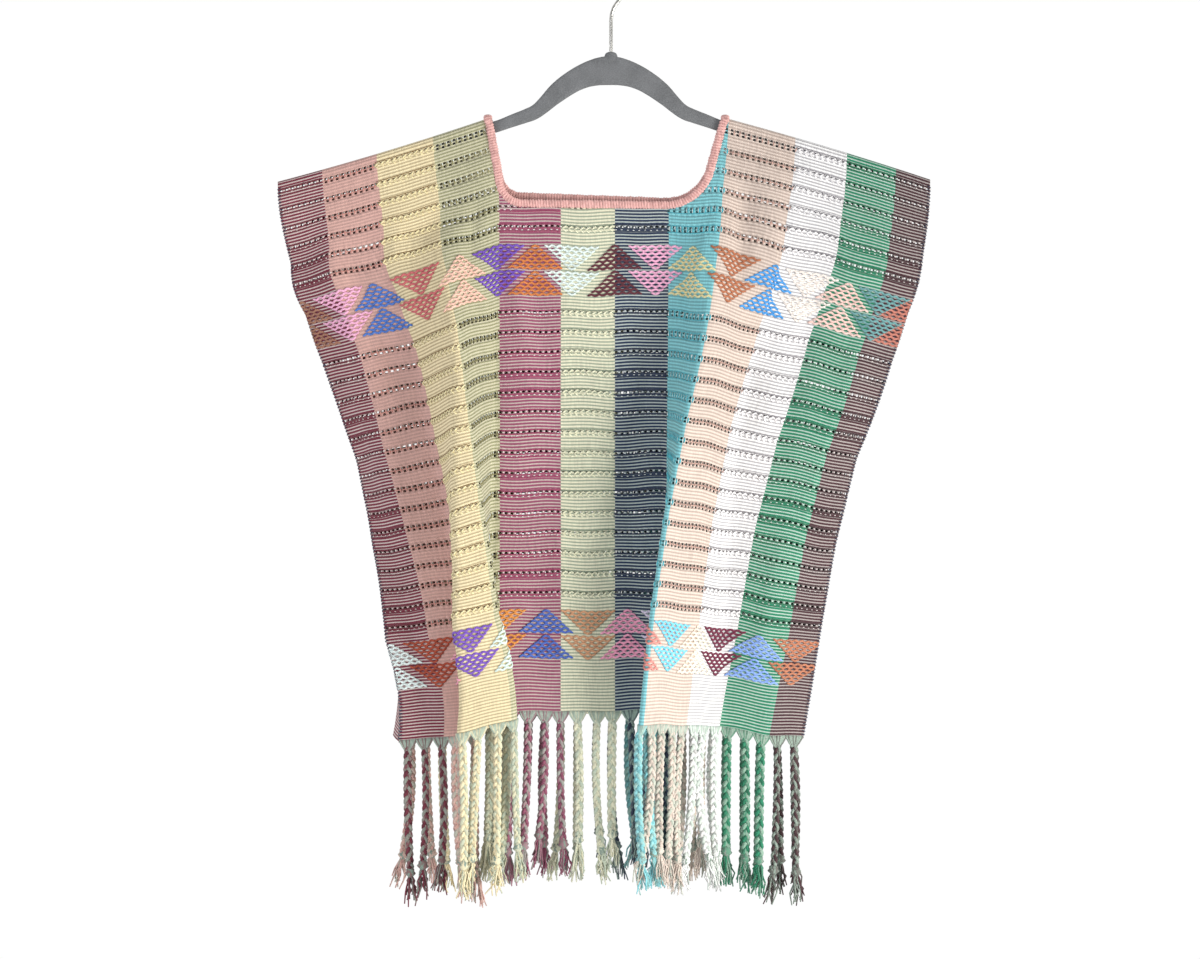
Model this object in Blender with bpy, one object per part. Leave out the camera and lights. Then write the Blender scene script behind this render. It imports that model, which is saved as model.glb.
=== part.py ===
"""Huipil blouse hung on a slim flocked hanger.

One web of striped cotton is folded at the shoulders over the hanger's arms,
cut for the neck, joined down both sides below the armholes, and fringed at
the hem. Metres, +Z up, the front faces -Y, the origin is the inner top of
the hanger's hook.
"""
import bpy
import bmesh
import numpy as np

MM = 0.001

# Driving dimensions, in millimetres
STRIPE_WIDTHS = (42.4, 51.2, 55.6, 56.7, 58.6, 49.3, 50.2, 51.2, 64.2, 50.2, 46.5, 35.0)
WEB_WIDTH = sum(STRIPE_WIDTHS)
PANEL_LENGTH = 555.0
WALL = 1.6
GAP = 0.3

SHOULDER_Z = -162.8
HEM_Z = -715.2
FOLD_RADIUS = 4.1
LEFT_DROP = 59.5
RIGHT_DROP = 57.5
SLEEVE_LEFT = 206.0
SLEEVE_RIGHT = 411.0
CENTRE_U = 313.8
CENTRE_X = 2.3
NECK_SPREAD_LEFT = 7.0
NECK_SPREAD_RIGHT = 5.5
SPREAD_FADES_AT = 0.155
ARMHOLE_ENDS_AT = 0.33
SIDE_STEP = 1.4
ARMHOLE_BELLY = 8.0
CLOSE_ABOVE = 0.42

FINE = np.linspace(0.0, WEB_WIDTH, 490)

FRINGE_LENGTH = 146.0
FRINGE_WALL = 4.0
FRINGE_GAP = 0.8
FRINGE_INSET = 5.0

BINDING_HALF_WIDTH = 4.0
BINDING_HALF_DEPTH = 2.1
BINDING_RADIUS = 5.5

HANGER_HALF_LENGTH = 226.0
HANGER_HALF_DEPTH = 2.75
WIRE_RADIUS = 1.75
HOOK_RADIUS = 22.0

# Levels down the panel, as shares of its length, at which folds are given
LEVELS = (0.0, 0.05, 0.15, 0.24, 0.33, 0.50, 0.65, 0.82, 1.0)

# How far the middle of the front stands off the hanger's plane at each level
FRONT_STAND = (4.1, 4.1, 7.0, 8.5, 11.0, 20.0, 27.0, 32.0, 36.0)

# Folds of the front. Columns: name, where the fold starts and ends across the
# web at the armhole and at the hem (mm from the left edge), how softly it
# starts and ends (mm), and the turn of the cloth in degrees at each level,
# plus for cloth that comes forward on its way to the right.
FRONT_FOLDS = (
    ("left side", -30, -30, 44, 44, 14, (0, 0, 30, 32, 34, 50, 40, 22, 14)),
    ("rose", 44, 44, 90, 72, 12, (0, 0, 0, 0, 2, 8, 6, 10, 14)),
    ("left ridge, left turn", 93, 75, 149, 97, 17, (0, 0, -6, 30, 44, 66, 92, 124, 168)),
    ("left of neck", 142, 142, 176, 176, 14, (0, 0, 14, 6, 0, 0, 0, 0, 0)),
    ("left ridge, right turn", 149, 157, 206, 192, 10, (0, 0, -4, -34, -48, -66, -84, -110, -168)),
    ("centre, left", 210, 200, 262, 262, 20, (0, 0, 0, -4, -8, -12, -12, -12, -12)),
    ("centre, right", 330, 330, 364, 370, 16, (0, 0, 0, 3, 6, 10, 12, 12, 12)),
    ("right ridge, left turn", 364, 364, 415, 412, 13, (0, 0, 12, 30, 44, 74, 94, 112, 128)),
    ("right ridge, right slope", 415, 412, 480, 532, 12, (0, 0, -22, -38, -47, -52, -52, -50, -52)),
    ("right of neck", 444, 444, 486, 486, 14, (0, 0, 26, 8, 0, 0, 0, 0, 0)),
    ("right side", 574, 574, 650, 650, 14, (0, 0, -10, -14, -18, -32, -30, -28, -14)),
)

# Folds of the back, seen from the front, plus for cloth that goes back
BACK_FOLDS = (
    ("left side", -30, -30, 52, 46, 14, (0, 0, -30, -20, 6, 40, 56, 74, 94)),
    ("first, in", 88, 88, 128, 124, 13, (0, 0, 0, -8, -24, -48, -64, -74, -82)),
    ("first, out", 150, 152, 198, 190, 18, (0, 0, -22, -10, 18, 42, 54, 62, 68)),
    ("second, in", 250, 240, 288, 278, 13, (0, 0, 0, -6, -20, -38, -50, -60, -68)),
    ("second, out", 324, 314, 356, 344, 14, (0, 0, -8, 6, 20, 40, 52, 62, 70)),
    ("third, in", 402, 392, 454, 446, 18, (0, 0, 0, -12, -28, -48, -60, -68, -76)),
    ("third, out", 484, 482, 524, 520, 13, (0, 0, 10, 16, 24, 44, 58, 70, 80)),
    ("right side", 556, 550, 650, 650, 14, (0, 0, 8, 4, -12, -38, -44, -40, -30)),
)

# Hem drop below its middle: columns are the place across and the drop, in mm
FRONT_HEM_DROP = (
    (0, 26.0), (42, 23.5), (97, 19.0), (149, 8.5), (165, 4.0), (206, 0.0),
    (362, 0.0), (412, 10.5), (479, 12.5), (530, 16.5), (576, 23.5), (611, 25.5),
)
BACK_HEM_DROP = (
    (0, 26.0), (60, 21.0), (130, 13.0), (206, 4.0), (300, 0.0), (411, 3.0),
    (480, 11.0), (550, 19.0), (611, 25.5),
)

# Neck: corners of the binding's middle line at the shoulder and at the front
# and back of the neck, and the corner radii
NECK_LEFT_TOP = -113.9
NECK_RIGHT_TOP = 105.6
NECK_LEFT_LOW = -100.4
NECK_RIGHT_LOW = 84.0
FRONT_NECK_Z = -243.7
BACK_NECK_Z = -239.5
NECK_LEFT_RADIUS = 22.0
NECK_RIGHT_RADIUS = 42.0

# Hanger outline: columns are the distance from the middle, top and bottom
HANGER_OUTLINE = (
    (0.0, -105.0, -132.1), (7.0, -105.6, -132.3), (14.0, -107.6, -133.2),
    (22.0, -110.6, -135.0), (31.6, -115.3, -139.2), (42.0, -121.8, -146.0),
    (51.2, -129.3, -153.3), (61.4, -141.4, -161.2), (68.8, -150.0, -165.0),
    (78.0, -154.4, -167.6), (90.0, -159.0, -171.4), (102.0, -164.2, -175.4),
    (112.0, -167.2, -178.2),
)
HANGER_MIDDLE = -1.5
ARM_SLOPE_LEFT = 0.3
ARM_SLOPE_RIGHT = 0.28


def remove_everything():
    """Start from an empty file."""
    for item in list(bpy.data.objects):
        bpy.data.objects.remove(item, do_unlink=True)


def smooth(t):
    """Smooth step from 0 to 1 as t goes from 0 to 1."""
    t = np.clip(t, 0.0, 1.0)
    return t * t * (3.0 - 2.0 * t)


def plateau(u, start, end, soft):
    """1 between start and end, 0 outside, eased over soft at each end."""
    rise = smooth((u - start) / soft + 0.5)
    fall = smooth((u - end) / soft + 0.5)
    return rise - fall


def at_level(values, share):
    """Value at a share of the panel's length, from one value per level."""
    return np.interp(share, LEVELS, values)


def turn_of(u, share, folds):
    """Plan angle of the cloth, in radians: the sum of the folds' turns."""
    low = np.clip((share - ARMHOLE_ENDS_AT) / (1.0 - ARMHOLE_ENDS_AT), 0.0, 1.0)
    angle = np.zeros_like(u)
    for _name, start_a, start_h, end_a, end_h, soft, turns in folds:
        start = start_a + (start_h - start_a) * low
        end = end_a + (end_h - end_a) * low
        angle = angle + at_level(turns, share) * plateau(u, start, end, soft)
    return np.radians(angle)


def top_drop(u):
    """Drop of the shoulder fold below the neck's sides."""
    left = np.clip(1.0 - u / SLEEVE_LEFT, 0.0, 1.0)
    right = np.clip((u - SLEEVE_RIGHT) / (WEB_WIDTH - SLEEVE_RIGHT), 0.0, 1.0)
    left = LEFT_DROP * (left + 0.12 * left * (1.0 - left))
    right = RIGHT_DROP * (right - 0.10 * right * (1.0 - right))
    return left + right


def height_of(u, down, hem_drop):
    """Height of a cloth row: from the shoulder line to the hem line."""
    wrap = 0.5 * np.pi * FOLD_RADIUS
    share = max(down - wrap, 0.0) / (PANEL_LENGTH - wrap)
    places = [row[0] for row in hem_drop]
    drops = [row[1] for row in hem_drop]
    sink = FOLD_RADIUS * (1.0 - np.cos(min(down / FOLD_RADIUS, 0.5 * np.pi)))
    middle = SHOULDER_Z - sink + (HEM_Z + FOLD_RADIUS - SHOULDER_Z) * share
    drop = top_drop(u) * (1.0 - share) + np.interp(u, places, drops) * share
    return middle - drop


def row_steps(u, down, folds, hem_drop, scale):
    """Sideways and outward steps along one row that keep its length."""
    z = height_of(u, down, hem_drop)
    run = np.diff(u)
    level = np.sqrt(np.maximum(run ** 2 - np.diff(z) ** 2, 0.0))
    angle = turn_of(0.5 * (u[1:] + u[:-1]), down / PANEL_LENGTH, folds) * scale
    return level * np.cos(angle), level * np.sin(angle), z


def spread(u, share):
    """Sideways shift of the shoulders, as the neck is pulled open."""
    fade = 1.0 - smooth(share / SPREAD_FADES_AT)
    side = np.interp(u, (SLEEVE_LEFT, SLEEVE_RIGHT), (-NECK_SPREAD_LEFT, NECK_SPREAD_RIGHT))
    return side * fade


def front_curve(down):
    """One front row at a distance down from the shoulder fold, drawn finely."""
    u = FINE
    share = down / PANEL_LENGTH
    dx, dy, z = row_steps(u, down, FRONT_FOLDS, FRONT_HEM_DROP, 1.0)
    x = np.concatenate(([0.0], np.cumsum(dx)))
    off = np.concatenate(([0.0], np.cumsum(dy)))
    x = x - np.interp(CENTRE_U, u, x) + CENTRE_X + spread(u, share)
    off = off - np.interp(CENTRE_U, u, off) + at_level(FRONT_STAND, share)
    out = np.sin(min(down / FOLD_RADIUS, 0.5 * np.pi))
    return np.stack((x, -off * out, z), axis=1)


def side_gap(share):
    """Front-to-back distance at the side: an armhole, then the joined seam."""
    along = np.clip(share / ARMHOLE_ENDS_AT, 0.0, 1.0)
    start, end = 2.0 * FOLD_RADIUS, 2.0 * SIDE_STEP
    return start + (end - start) * smooth(along) + ARMHOLE_BELLY * np.sin(np.pi * along)


def fit_turns(down, width):
    """Share of the back's turns that brings its row to the front's width."""
    low, high = 0.0, 1.7
    for _step in range(30):
        scale = 0.5 * (low + high)
        dx = row_steps(FINE, down, BACK_FOLDS, BACK_HEM_DROP, scale)[0]
        low, high = (scale, high) if dx.sum() > width else (low, scale)
    return scale


def back_curve(down):
    """One back row, drawn finely; its ends follow the front row's ends."""
    u = FINE
    share = down / PANEL_LENGTH
    front = front_curve(down)
    if down < 0.5 * np.pi * FOLD_RADIUS:
        return front * np.array([1.0, -1.0, 1.0])
    width = front[-1, 0] - front[0, 0]
    scale = fit_turns(down, width)
    dx, dy, z = row_steps(u, down, BACK_FOLDS, BACK_HEM_DROP, scale)
    x = np.concatenate(([0.0], np.cumsum(dx)))
    x = front[0, 0] + x * width / x[-1]
    off = np.concatenate(([0.0], np.cumsum(dy)))
    left = front[0, 1] + side_gap(share)
    right = front[-1, 1] + side_gap(share)
    off = off + left + (right - left - off[-1]) * u / WEB_WIDTH
    if share < CLOSE_ABOVE:
        least = np.interp(x, front[:, 0], front[:, 1]) + side_gap(share)
        off = 0.5 * (off + least + np.sqrt((off - least) ** 2 + 1.0))
    return np.stack((x, off, z), axis=1)


def row_at(curve, u):
    """Points of a finely drawn row at chosen places across the web."""
    return np.stack([np.interp(u, FINE, curve[:, axis]) for axis in range(3)], axis=1)


def place_columns(breaks):
    """Places across the web, closer where the cloth turns sharply."""
    places = [breaks[0][0]]
    for start, end, count in breaks:
        places.extend(np.linspace(start, end, count + 1)[1:])
    return np.array(places)


def place_rows():
    """Distances down a panel: over the fold, then evenly to the hem."""
    fold = np.linspace(0.0, 0.5 * np.pi * FOLD_RADIUS, 4)
    fold[0] = GAP
    rest = np.linspace(20.0, PANEL_LENGTH, 14)
    return np.concatenate((fold, rest))


def normals_of(grid):
    """Unit normals of a grid of points, one per point."""
    along = np.gradient(grid, axis=0)
    down = np.gradient(grid, axis=1)
    normal = np.cross(along, down)
    return normal / np.linalg.norm(normal, axis=2, keepdims=True)


def link_object(name, verts, faces, colour, roughness, metallic=0.0):
    """Mesh object from millimetre points, with its own material."""
    mesh = bpy.data.meshes.new(name)
    mesh.from_pydata([tuple(v) for v in np.asarray(verts) * MM], [], faces)
    bm = bmesh.new()
    bm.from_mesh(mesh)
    bmesh.ops.recalc_face_normals(bm, faces=bm.faces)
    bm.to_mesh(mesh)
    bm.free()
    item = bpy.data.objects.new(name, mesh)
    bpy.context.scene.collection.objects.link(item)
    material = bpy.data.materials.new(name)
    material.use_nodes = True
    shader = material.node_tree.nodes["Principled BSDF"]
    shader.inputs["Base Color"].default_value = (*colour, 1.0)
    shader.inputs["Roughness"].default_value = roughness
    shader.inputs["Metallic"].default_value = metallic
    mesh.materials.append(material)
    return item


def wall_from_grid(name, grid, thickness, colour, roughness):
    """Closed wall on both sides of a grid of middle points."""
    columns, rows = grid.shape[:2]
    normal = normals_of(grid)
    outer = (grid + 0.5 * thickness * normal).reshape(-1, 3)
    inner = (grid - 0.5 * thickness * normal).reshape(-1, 3)
    verts = np.concatenate((outer, inner))
    index = np.arange(columns * rows).reshape(columns, rows)
    faces = []
    for i in range(columns - 1):
        for j in range(rows - 1):
            a, b = int(index[i, j]), int(index[i + 1, j])
            c, d = int(index[i + 1, j + 1]), int(index[i, j + 1])
            faces.append([a, b, c, d])
            faces.append([k + columns * rows for k in (a, d, c, b)])
    rim = list(index[:, 0]) + list(index[-1, 1:]) + list(index[-2::-1, -1]) + list(index[0, -2:0:-1])
    for first, second in zip(rim, rim[1:] + rim[:1]):
        low_first = int(first) + columns * rows
        low_second = int(second) + columns * rows
        faces.append([int(second), int(first), low_first, low_second])
    return link_object(name, verts, faces, colour, roughness)


def tube(name, centres, first_axis, second_axis, section, closed, colour, roughness, metallic=0.0):
    """Loft of one section along centres, in the plane of two axes."""
    count = len(centres)
    sides = len(section)
    verts = []
    for centre, a, b in zip(centres, first_axis, second_axis):
        verts.append(centre + section[:, :1] * a + section[:, 1:] * b)
    verts = np.concatenate(verts)
    faces = []
    for i in range(count if closed else count - 1):
        for j in range(sides):
            k = (i + 1) % count
            n = (j + 1) % sides
            faces.append([i * sides + j, k * sides + j, k * sides + n, i * sides + n])
    if not closed:
        faces.append(list(range(sides)))
        faces.append(list(range((count - 1) * sides, count * sides))[::-1])
    return link_object(name, verts, faces, colour, roughness, metallic)


def oval(half_a, half_b, count, power):
    """Section points of a superellipse."""
    angle = np.linspace(0.0, 2.0 * np.pi, count, endpoint=False)
    c, s = np.cos(angle), np.sin(angle)
    a = half_a * np.sign(c) * np.abs(c) ** power
    b = half_b * np.sign(s) * np.abs(s) ** power
    return np.stack((a, b), axis=1)


def fillet(before, corner, after, radius, count):
    """Arc that rounds one corner of a flat path."""
    to_before = (before - corner) / np.linalg.norm(before - corner)
    to_after = (after - corner) / np.linalg.norm(after - corner)
    half = 0.5 * np.arccos(np.clip(np.dot(to_before, to_after), -1.0, 1.0))
    middle = to_before + to_after
    middle = middle / np.linalg.norm(middle)
    centre = corner + middle * radius / np.sin(half)
    first = corner + to_before * radius / np.tan(half) - centre
    last = corner + to_after * radius / np.tan(half) - centre
    total = np.arctan2(first[0] * last[1] - first[1] * last[0], np.dot(first, last))
    steps = np.linspace(0.0, total, count)
    turn = np.stack((np.cos(steps), np.sin(steps)), axis=1)
    x = first[0] * turn[:, 0] - first[1] * turn[:, 1]
    z = first[0] * turn[:, 1] + first[1] * turn[:, 0]
    return centre + np.stack((x, z), axis=1)


def neck_line(top_z, low_z, outward):
    """Neck in front view from the left shoulder round to the right one."""
    down = (low_z - SHOULDER_Z)
    left = np.array([NECK_LEFT_LOW - NECK_LEFT_TOP, down])
    right = np.array([NECK_RIGHT_LOW - NECK_RIGHT_TOP, down])
    left = left / np.linalg.norm(left)
    right = right / np.linalg.norm(right)
    left_x = NECK_LEFT_TOP - outward / abs(left[1])
    right_x = NECK_RIGHT_TOP + outward / abs(right[1])
    low = low_z - outward
    p0 = np.array([left_x + left[0] / left[1] * (top_z - SHOULDER_Z), top_z])
    p1 = np.array([left_x + left[0] / left[1] * (low - SHOULDER_Z), low])
    p2 = np.array([right_x + right[0] / right[1] * (low - SHOULDER_Z), low])
    p3 = np.array([right_x + right[0] / right[1] * (top_z - SHOULDER_Z), top_z])
    first = fillet(p0, p1, p2, NECK_LEFT_RADIUS + outward, 10)
    second = fillet(p1, p2, p3, NECK_RIGHT_RADIUS + outward, 13)
    left_side = np.linspace(p0, first[0], 9)[:-1]
    bottom = np.linspace(first[-1], second[0], 14)[1:-1]
    right_side = np.linspace(second[-1], p3, 8)[1:]
    return np.concatenate((left_side, first, bottom, second, right_side))


def surface_depth(x, z, curve_at):
    """Stand-off of a panel at places given in front view."""
    depths = []
    for x_i, z_i in zip(x, z):
        down = SHOULDER_Z - z_i
        for _step in range(3):
            curve = curve_at(max(down, 0.5 * np.pi * FOLD_RADIUS))
            near = np.argmin(np.abs(curve[:, 0] - x_i))
            down = down + curve[near, 2] - z_i
        depths.append(np.interp(x_i, curve[:, 0], curve[:, 1]))
    return np.array(depths)


def neck_path():
    """Closed middle line of the neck binding, with outward normals."""
    wrap_z = SHOULDER_Z - FOLD_RADIUS
    front = neck_line(wrap_z, FRONT_NECK_Z, 0.0)
    back = neck_line(wrap_z, BACK_NECK_Z, 0.0)[::-1]
    front_y = surface_depth(front[:, 0], front[:, 1], front_curve) - 0.3
    back_y = surface_depth(back[:, 0], back[:, 1], back_curve) + 0.3
    front_y = np.minimum(front_y, -BINDING_RADIUS)
    back_y = np.maximum(back_y, BINDING_RADIUS)
    points = []
    for (x, z), y in zip(front, front_y):
        points.append((x, y, z))
    for angle in np.radians((30, 60, 90, 120, 150)):
        y = -BINDING_RADIUS * np.cos(angle)
        points.append((NECK_RIGHT_TOP + 0.6, y, wrap_z + BINDING_RADIUS * np.sin(angle)))
    for (x, z), y in zip(back, back_y):
        points.append((x, y, z))
    for angle in np.radians((150, 120, 90, 60, 30)):
        y = -BINDING_RADIUS * np.cos(angle)
        points.append((NECK_LEFT_TOP - 0.6, y, wrap_z + BINDING_RADIUS * np.sin(angle)))
    points = np.array(points)
    normals = []
    for x, y, z in points:
        rise = max(z - wrap_z, 0.0)
        normal = np.array([0.0, y, rise])
        normals.append(normal / np.linalg.norm(normal))
    return points, np.array(normals)


def make_binding():
    """Neck binding: a flattened roll along the neck's edge."""
    points, normals = neck_path()
    along = np.roll(points, -1, axis=0) - np.roll(points, 1, axis=0)
    along = along / np.linalg.norm(along, axis=1, keepdims=True)
    across = np.cross(along, normals)
    across = across / np.linalg.norm(across, axis=1, keepdims=True)
    outward = np.cross(across, along)
    section = oval(BINDING_HALF_WIDTH, BINDING_HALF_DEPTH, 14, 0.8)
    return tube("neck_binding", points, across, outward, section, True, (0.72, 0.36, 0.33), 0.85)


def cut_neck(item, low_z, side):
    """Cut the neck through one panel, as far as the binding's outer edge."""
    outline = neck_line(SHOULDER_Z + 30.0, low_z, BINDING_HALF_WIDTH + GAP + 0.7)
    near, far = (-60.0, 0.0) if side < 0 else (0.0, 60.0)
    verts = [(x, near, z) for x, z in outline] + [(x, far, z) for x, z in outline]
    count = len(outline)
    faces = [list(range(count)), list(range(2 * count - 1, count - 1, -1))]
    for i in range(count):
        j = (i + 1) % count
        faces.append([j, i, count + i, count + j])
    cutter = link_object("neck_cutter", verts, faces, (0.5, 0.5, 0.5), 0.5)
    cutter.hide_render = True
    cutter.display_type = "WIRE"
    cut = item.modifiers.new("neck", "BOOLEAN")
    cut.operation = "DIFFERENCE"
    cut.solver = "EXACT"
    cut.object = cutter
    graph = bpy.context.evaluated_depsgraph_get()
    mesh = bpy.data.meshes.new_from_object(item.evaluated_get(graph))
    item.modifiers.clear()
    old = item.data
    item.data = mesh
    bpy.data.meshes.remove(old)
    bpy.data.objects.remove(cutter, do_unlink=True)


def make_fringe(name, columns, curve_at, colour):
    """Plain wall of a fringe's reach, below the hem."""
    inset = FRINGE_INSET + columns * (1.0 - 2.0 * FRINGE_INSET / WEB_WIDTH)
    hem = row_at(curve_at(PANEL_LENGTH), inset)
    steps = np.linspace(0.0, FRINGE_LENGTH, 4)
    grid = np.repeat(hem[:, None, :], len(steps), axis=1)
    grid[:, :, 2] -= FRINGE_GAP + steps[None, :]
    return wall_from_grid(name, grid, FRINGE_WALL, colour, 0.9)


def hanger_profile(x):
    """Top and bottom of the hanger at places across, from its middle."""
    table = np.array(HANGER_OUTLINE)
    distance = np.abs(x)
    beyond = np.maximum(distance - table[-1, 0], 0.0)
    fall = np.where(x < 0.0, ARM_SLOPE_LEFT, ARM_SLOPE_RIGHT) * beyond
    top = np.interp(distance, table[:, 0], table[:, 1]) - fall
    bottom = np.interp(distance, table[:, 0], table[:, 2]) - fall
    return top, bottom


def make_hanger():
    """Hanger body: an arch and two sloping arms of flat rounded section."""
    inner = np.array([row[0] for row in HANGER_OUTLINE])
    outer = np.linspace(inner[-1] + 20.0, HANGER_HALF_LENGTH - 6.0, 5)
    tip = HANGER_HALF_LENGTH - np.array([3.0, 1.2, 0.3])
    half = np.concatenate((inner, outer, tip))
    x = np.concatenate((-half[::-1], half[1:]))
    top, bottom = hanger_profile(x)
    end = np.clip((HANGER_HALF_LENGTH - np.abs(x)) / 6.0, 0.0, 1.0)
    shrink = np.sqrt(np.maximum(1.0 - (1.0 - end) ** 2, 0.04))
    centres = np.stack((x + HANGER_MIDDLE, np.zeros_like(x), 0.5 * (top + bottom)), axis=1)
    section = oval(1.0, 1.0, 16, 0.45)
    first = np.zeros((len(x), 3))
    second = np.zeros((len(x), 3))
    first[:, 1] = HANGER_HALF_DEPTH * (0.4 + 0.6 * shrink)
    second[:, 2] = 0.5 * (top - bottom) * shrink
    return tube("hanger_body", centres, first, second, section, False, (0.16, 0.165, 0.17), 0.95)


def make_hook():
    """Hook: a wire up from the hanger, round over the rail and down."""
    loop_z = -(HOOK_RADIUS - WIRE_RADIUS)
    stem = [(0.0, z) for z in (-104.0, -94.0, -80.0, -72.0)]
    bend = [(0.6, -66.0), (2.6, -60.0), (6.4, -54.4), (11.0, -48.4)]
    angles = np.radians(np.linspace(-42.0, 205.0, 27))
    loop = [(HOOK_RADIUS * np.cos(a), loop_z + HOOK_RADIUS * np.sin(a)) for a in angles]
    flat = np.array(stem + bend + loop)
    centres = np.stack((flat[:, 0], np.zeros(len(flat)), flat[:, 1]), axis=1)
    along = np.gradient(centres, axis=0)
    along = along / np.linalg.norm(along, axis=1, keepdims=True)
    first = np.tile(np.array([0.0, 1.0, 0.0]), (len(centres), 1))
    second = np.cross(along, first)
    section = oval(WIRE_RADIUS, WIRE_RADIUS, 14, 1.0)
    return tube("hanger_hook", centres, first, second, section, False, (0.62, 0.63, 0.64), 0.25, 1.0)


def main():
    """Build every piece."""
    remove_everything()
    front_columns = place_columns((
        (0, 48, 4), (48, 100, 11), (100, 150, 7), (150, 206, 11), (206, 360, 9),
        (360, 420, 12), (420, 540, 9), (540, WEB_WIDTH, 5),
    ))
    back_columns = place_columns((
        (0, 60, 7), (60, 540, 46), (540, WEB_WIDTH, 6),
    ))
    rows = place_rows()
    front_grid = np.stack([row_at(front_curve(down), front_columns) for down in rows], axis=1)
    back_grid = np.stack([row_at(back_curve(down), back_columns) for down in rows], axis=1)
    front = wall_from_grid("front", front_grid, WALL, (0.55, 0.45, 0.38), 0.9)
    back = wall_from_grid("back", back_grid, WALL, (0.5, 0.42, 0.36), 0.9)
    cut_neck(front, FRONT_NECK_Z, -1)
    cut_neck(back, BACK_NECK_Z, 1)
    make_binding()
    make_fringe("fringe_front", front_columns, front_curve, (0.5, 0.52, 0.45))
    make_fringe("fringe_back", back_columns, back_curve, (0.45, 0.48, 0.42))
    make_hanger()
    make_hook()


main()
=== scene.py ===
# %% [markdown]
# # A huipil blouse on its hanger
#
# A huipil is woven on a backstrap loom as one striped web, folded at the
# shoulders, cut for the head and joined down the sides. Rows of openwork run
# across it, two brocade bands carry small triangles in thick yarn, and the
# warp ends are braided into a fringe. This script dresses the fixed frame:
# each piece is computed in millimetres and put where the frame has it.

# %% The frame and the units
import bpy
import numpy as np
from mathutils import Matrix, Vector


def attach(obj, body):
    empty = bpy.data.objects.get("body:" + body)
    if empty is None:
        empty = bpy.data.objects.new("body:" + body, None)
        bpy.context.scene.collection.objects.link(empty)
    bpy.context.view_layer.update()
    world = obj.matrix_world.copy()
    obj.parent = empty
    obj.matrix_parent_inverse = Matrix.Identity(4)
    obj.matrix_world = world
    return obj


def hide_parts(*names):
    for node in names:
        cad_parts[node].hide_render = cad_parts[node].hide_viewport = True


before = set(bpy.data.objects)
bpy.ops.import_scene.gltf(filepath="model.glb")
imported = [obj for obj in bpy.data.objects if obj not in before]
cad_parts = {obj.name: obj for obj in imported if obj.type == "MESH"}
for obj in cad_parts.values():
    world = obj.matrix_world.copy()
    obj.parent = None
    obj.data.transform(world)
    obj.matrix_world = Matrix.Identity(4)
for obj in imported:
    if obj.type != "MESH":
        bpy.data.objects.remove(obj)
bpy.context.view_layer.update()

MM = 0.001
print("frame:", sorted(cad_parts))

# %% [markdown]
# ## The web's own sizes
#
# Everything on a woven cloth is easiest to place in the cloth's own
# measures: u millimetres across from the left edge, and v millimetres down
# from the shoulder fold. The same few sizes as the frame's give the stripes,
# the folds and the heights, so the fine cloth lies in the frame's cloth.

# %% Sizes of the web, in millimetres
STRIPE_WIDTHS = (42.4, 51.2, 55.6, 56.7, 58.6, 49.3, 50.2, 51.2, 64.2, 50.2, 46.5, 35.0)
STRIPE_ENDS = np.cumsum(STRIPE_WIDTHS)
WEB_WIDTH = float(STRIPE_ENDS[-1])
PANEL_LENGTH = 555.0
SHOULDER_Z = -162.8
HEM_Z = -715.2
FOLD_RADIUS = 4.1
WRAP = 0.5 * np.pi * FOLD_RADIUS
LEFT_DROP = 59.5
RIGHT_DROP = 57.5
SLEEVE_LEFT = 206.0
SLEEVE_RIGHT = 411.0
CENTRE_U = 313.8
CENTRE_X = 2.3
NECK_SPREAD_LEFT = 7.0
NECK_SPREAD_RIGHT = 5.5
SPREAD_FADES_AT = 0.155
ARMHOLE_ENDS_AT = 0.33
SIDE_STEP = 1.4
ARMHOLE_BELLY = 8.0
CLOSE_ABOVE = 0.42

# Shares of the panel's length at which the folds' turns are given
LEVELS = (0.0, 0.05, 0.15, 0.24, 0.33, 0.50, 0.65, 0.82, 1.0)
# How far the cloth at CENTRE_U stands out in front of the hanger's middle, at each of them (mm)
FRONT_STAND = (4.1, 4.1, 7.0, 8.5, 11.0, 20.0, 27.0, 32.0, 36.0)

# Columns: start at armhole, start at hem, end at armhole, end at hem, softness (mm),
# and the turn at each of LEVELS (degrees)
FRONT_FOLDS = (
    (-30, -30, 44, 44, 14, (0, 0, 30, 32, 34, 50, 40, 22, 14)),
    (44, 44, 90, 72, 12, (0, 0, 0, 0, 2, 8, 6, 10, 14)),
    (93, 75, 149, 97, 17, (0, 0, -6, 30, 44, 66, 92, 124, 168)),
    (142, 142, 176, 176, 14, (0, 0, 14, 6, 0, 0, 0, 0, 0)),
    (149, 157, 206, 192, 10, (0, 0, -4, -34, -48, -66, -84, -110, -168)),
    (210, 200, 262, 262, 20, (0, 0, 0, -4, -8, -12, -12, -12, -12)),
    (330, 330, 364, 370, 16, (0, 0, 0, 3, 6, 10, 12, 12, 12)),
    (364, 364, 415, 412, 13, (0, 0, 12, 30, 44, 74, 94, 112, 128)),
    (415, 412, 480, 532, 12, (0, 0, -22, -38, -47, -52, -52, -50, -52)),
    (444, 444, 486, 486, 14, (0, 0, 26, 8, 0, 0, 0, 0, 0)),
    (574, 574, 650, 650, 14, (0, 0, -10, -14, -18, -32, -30, -28, -14)),
)
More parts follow.
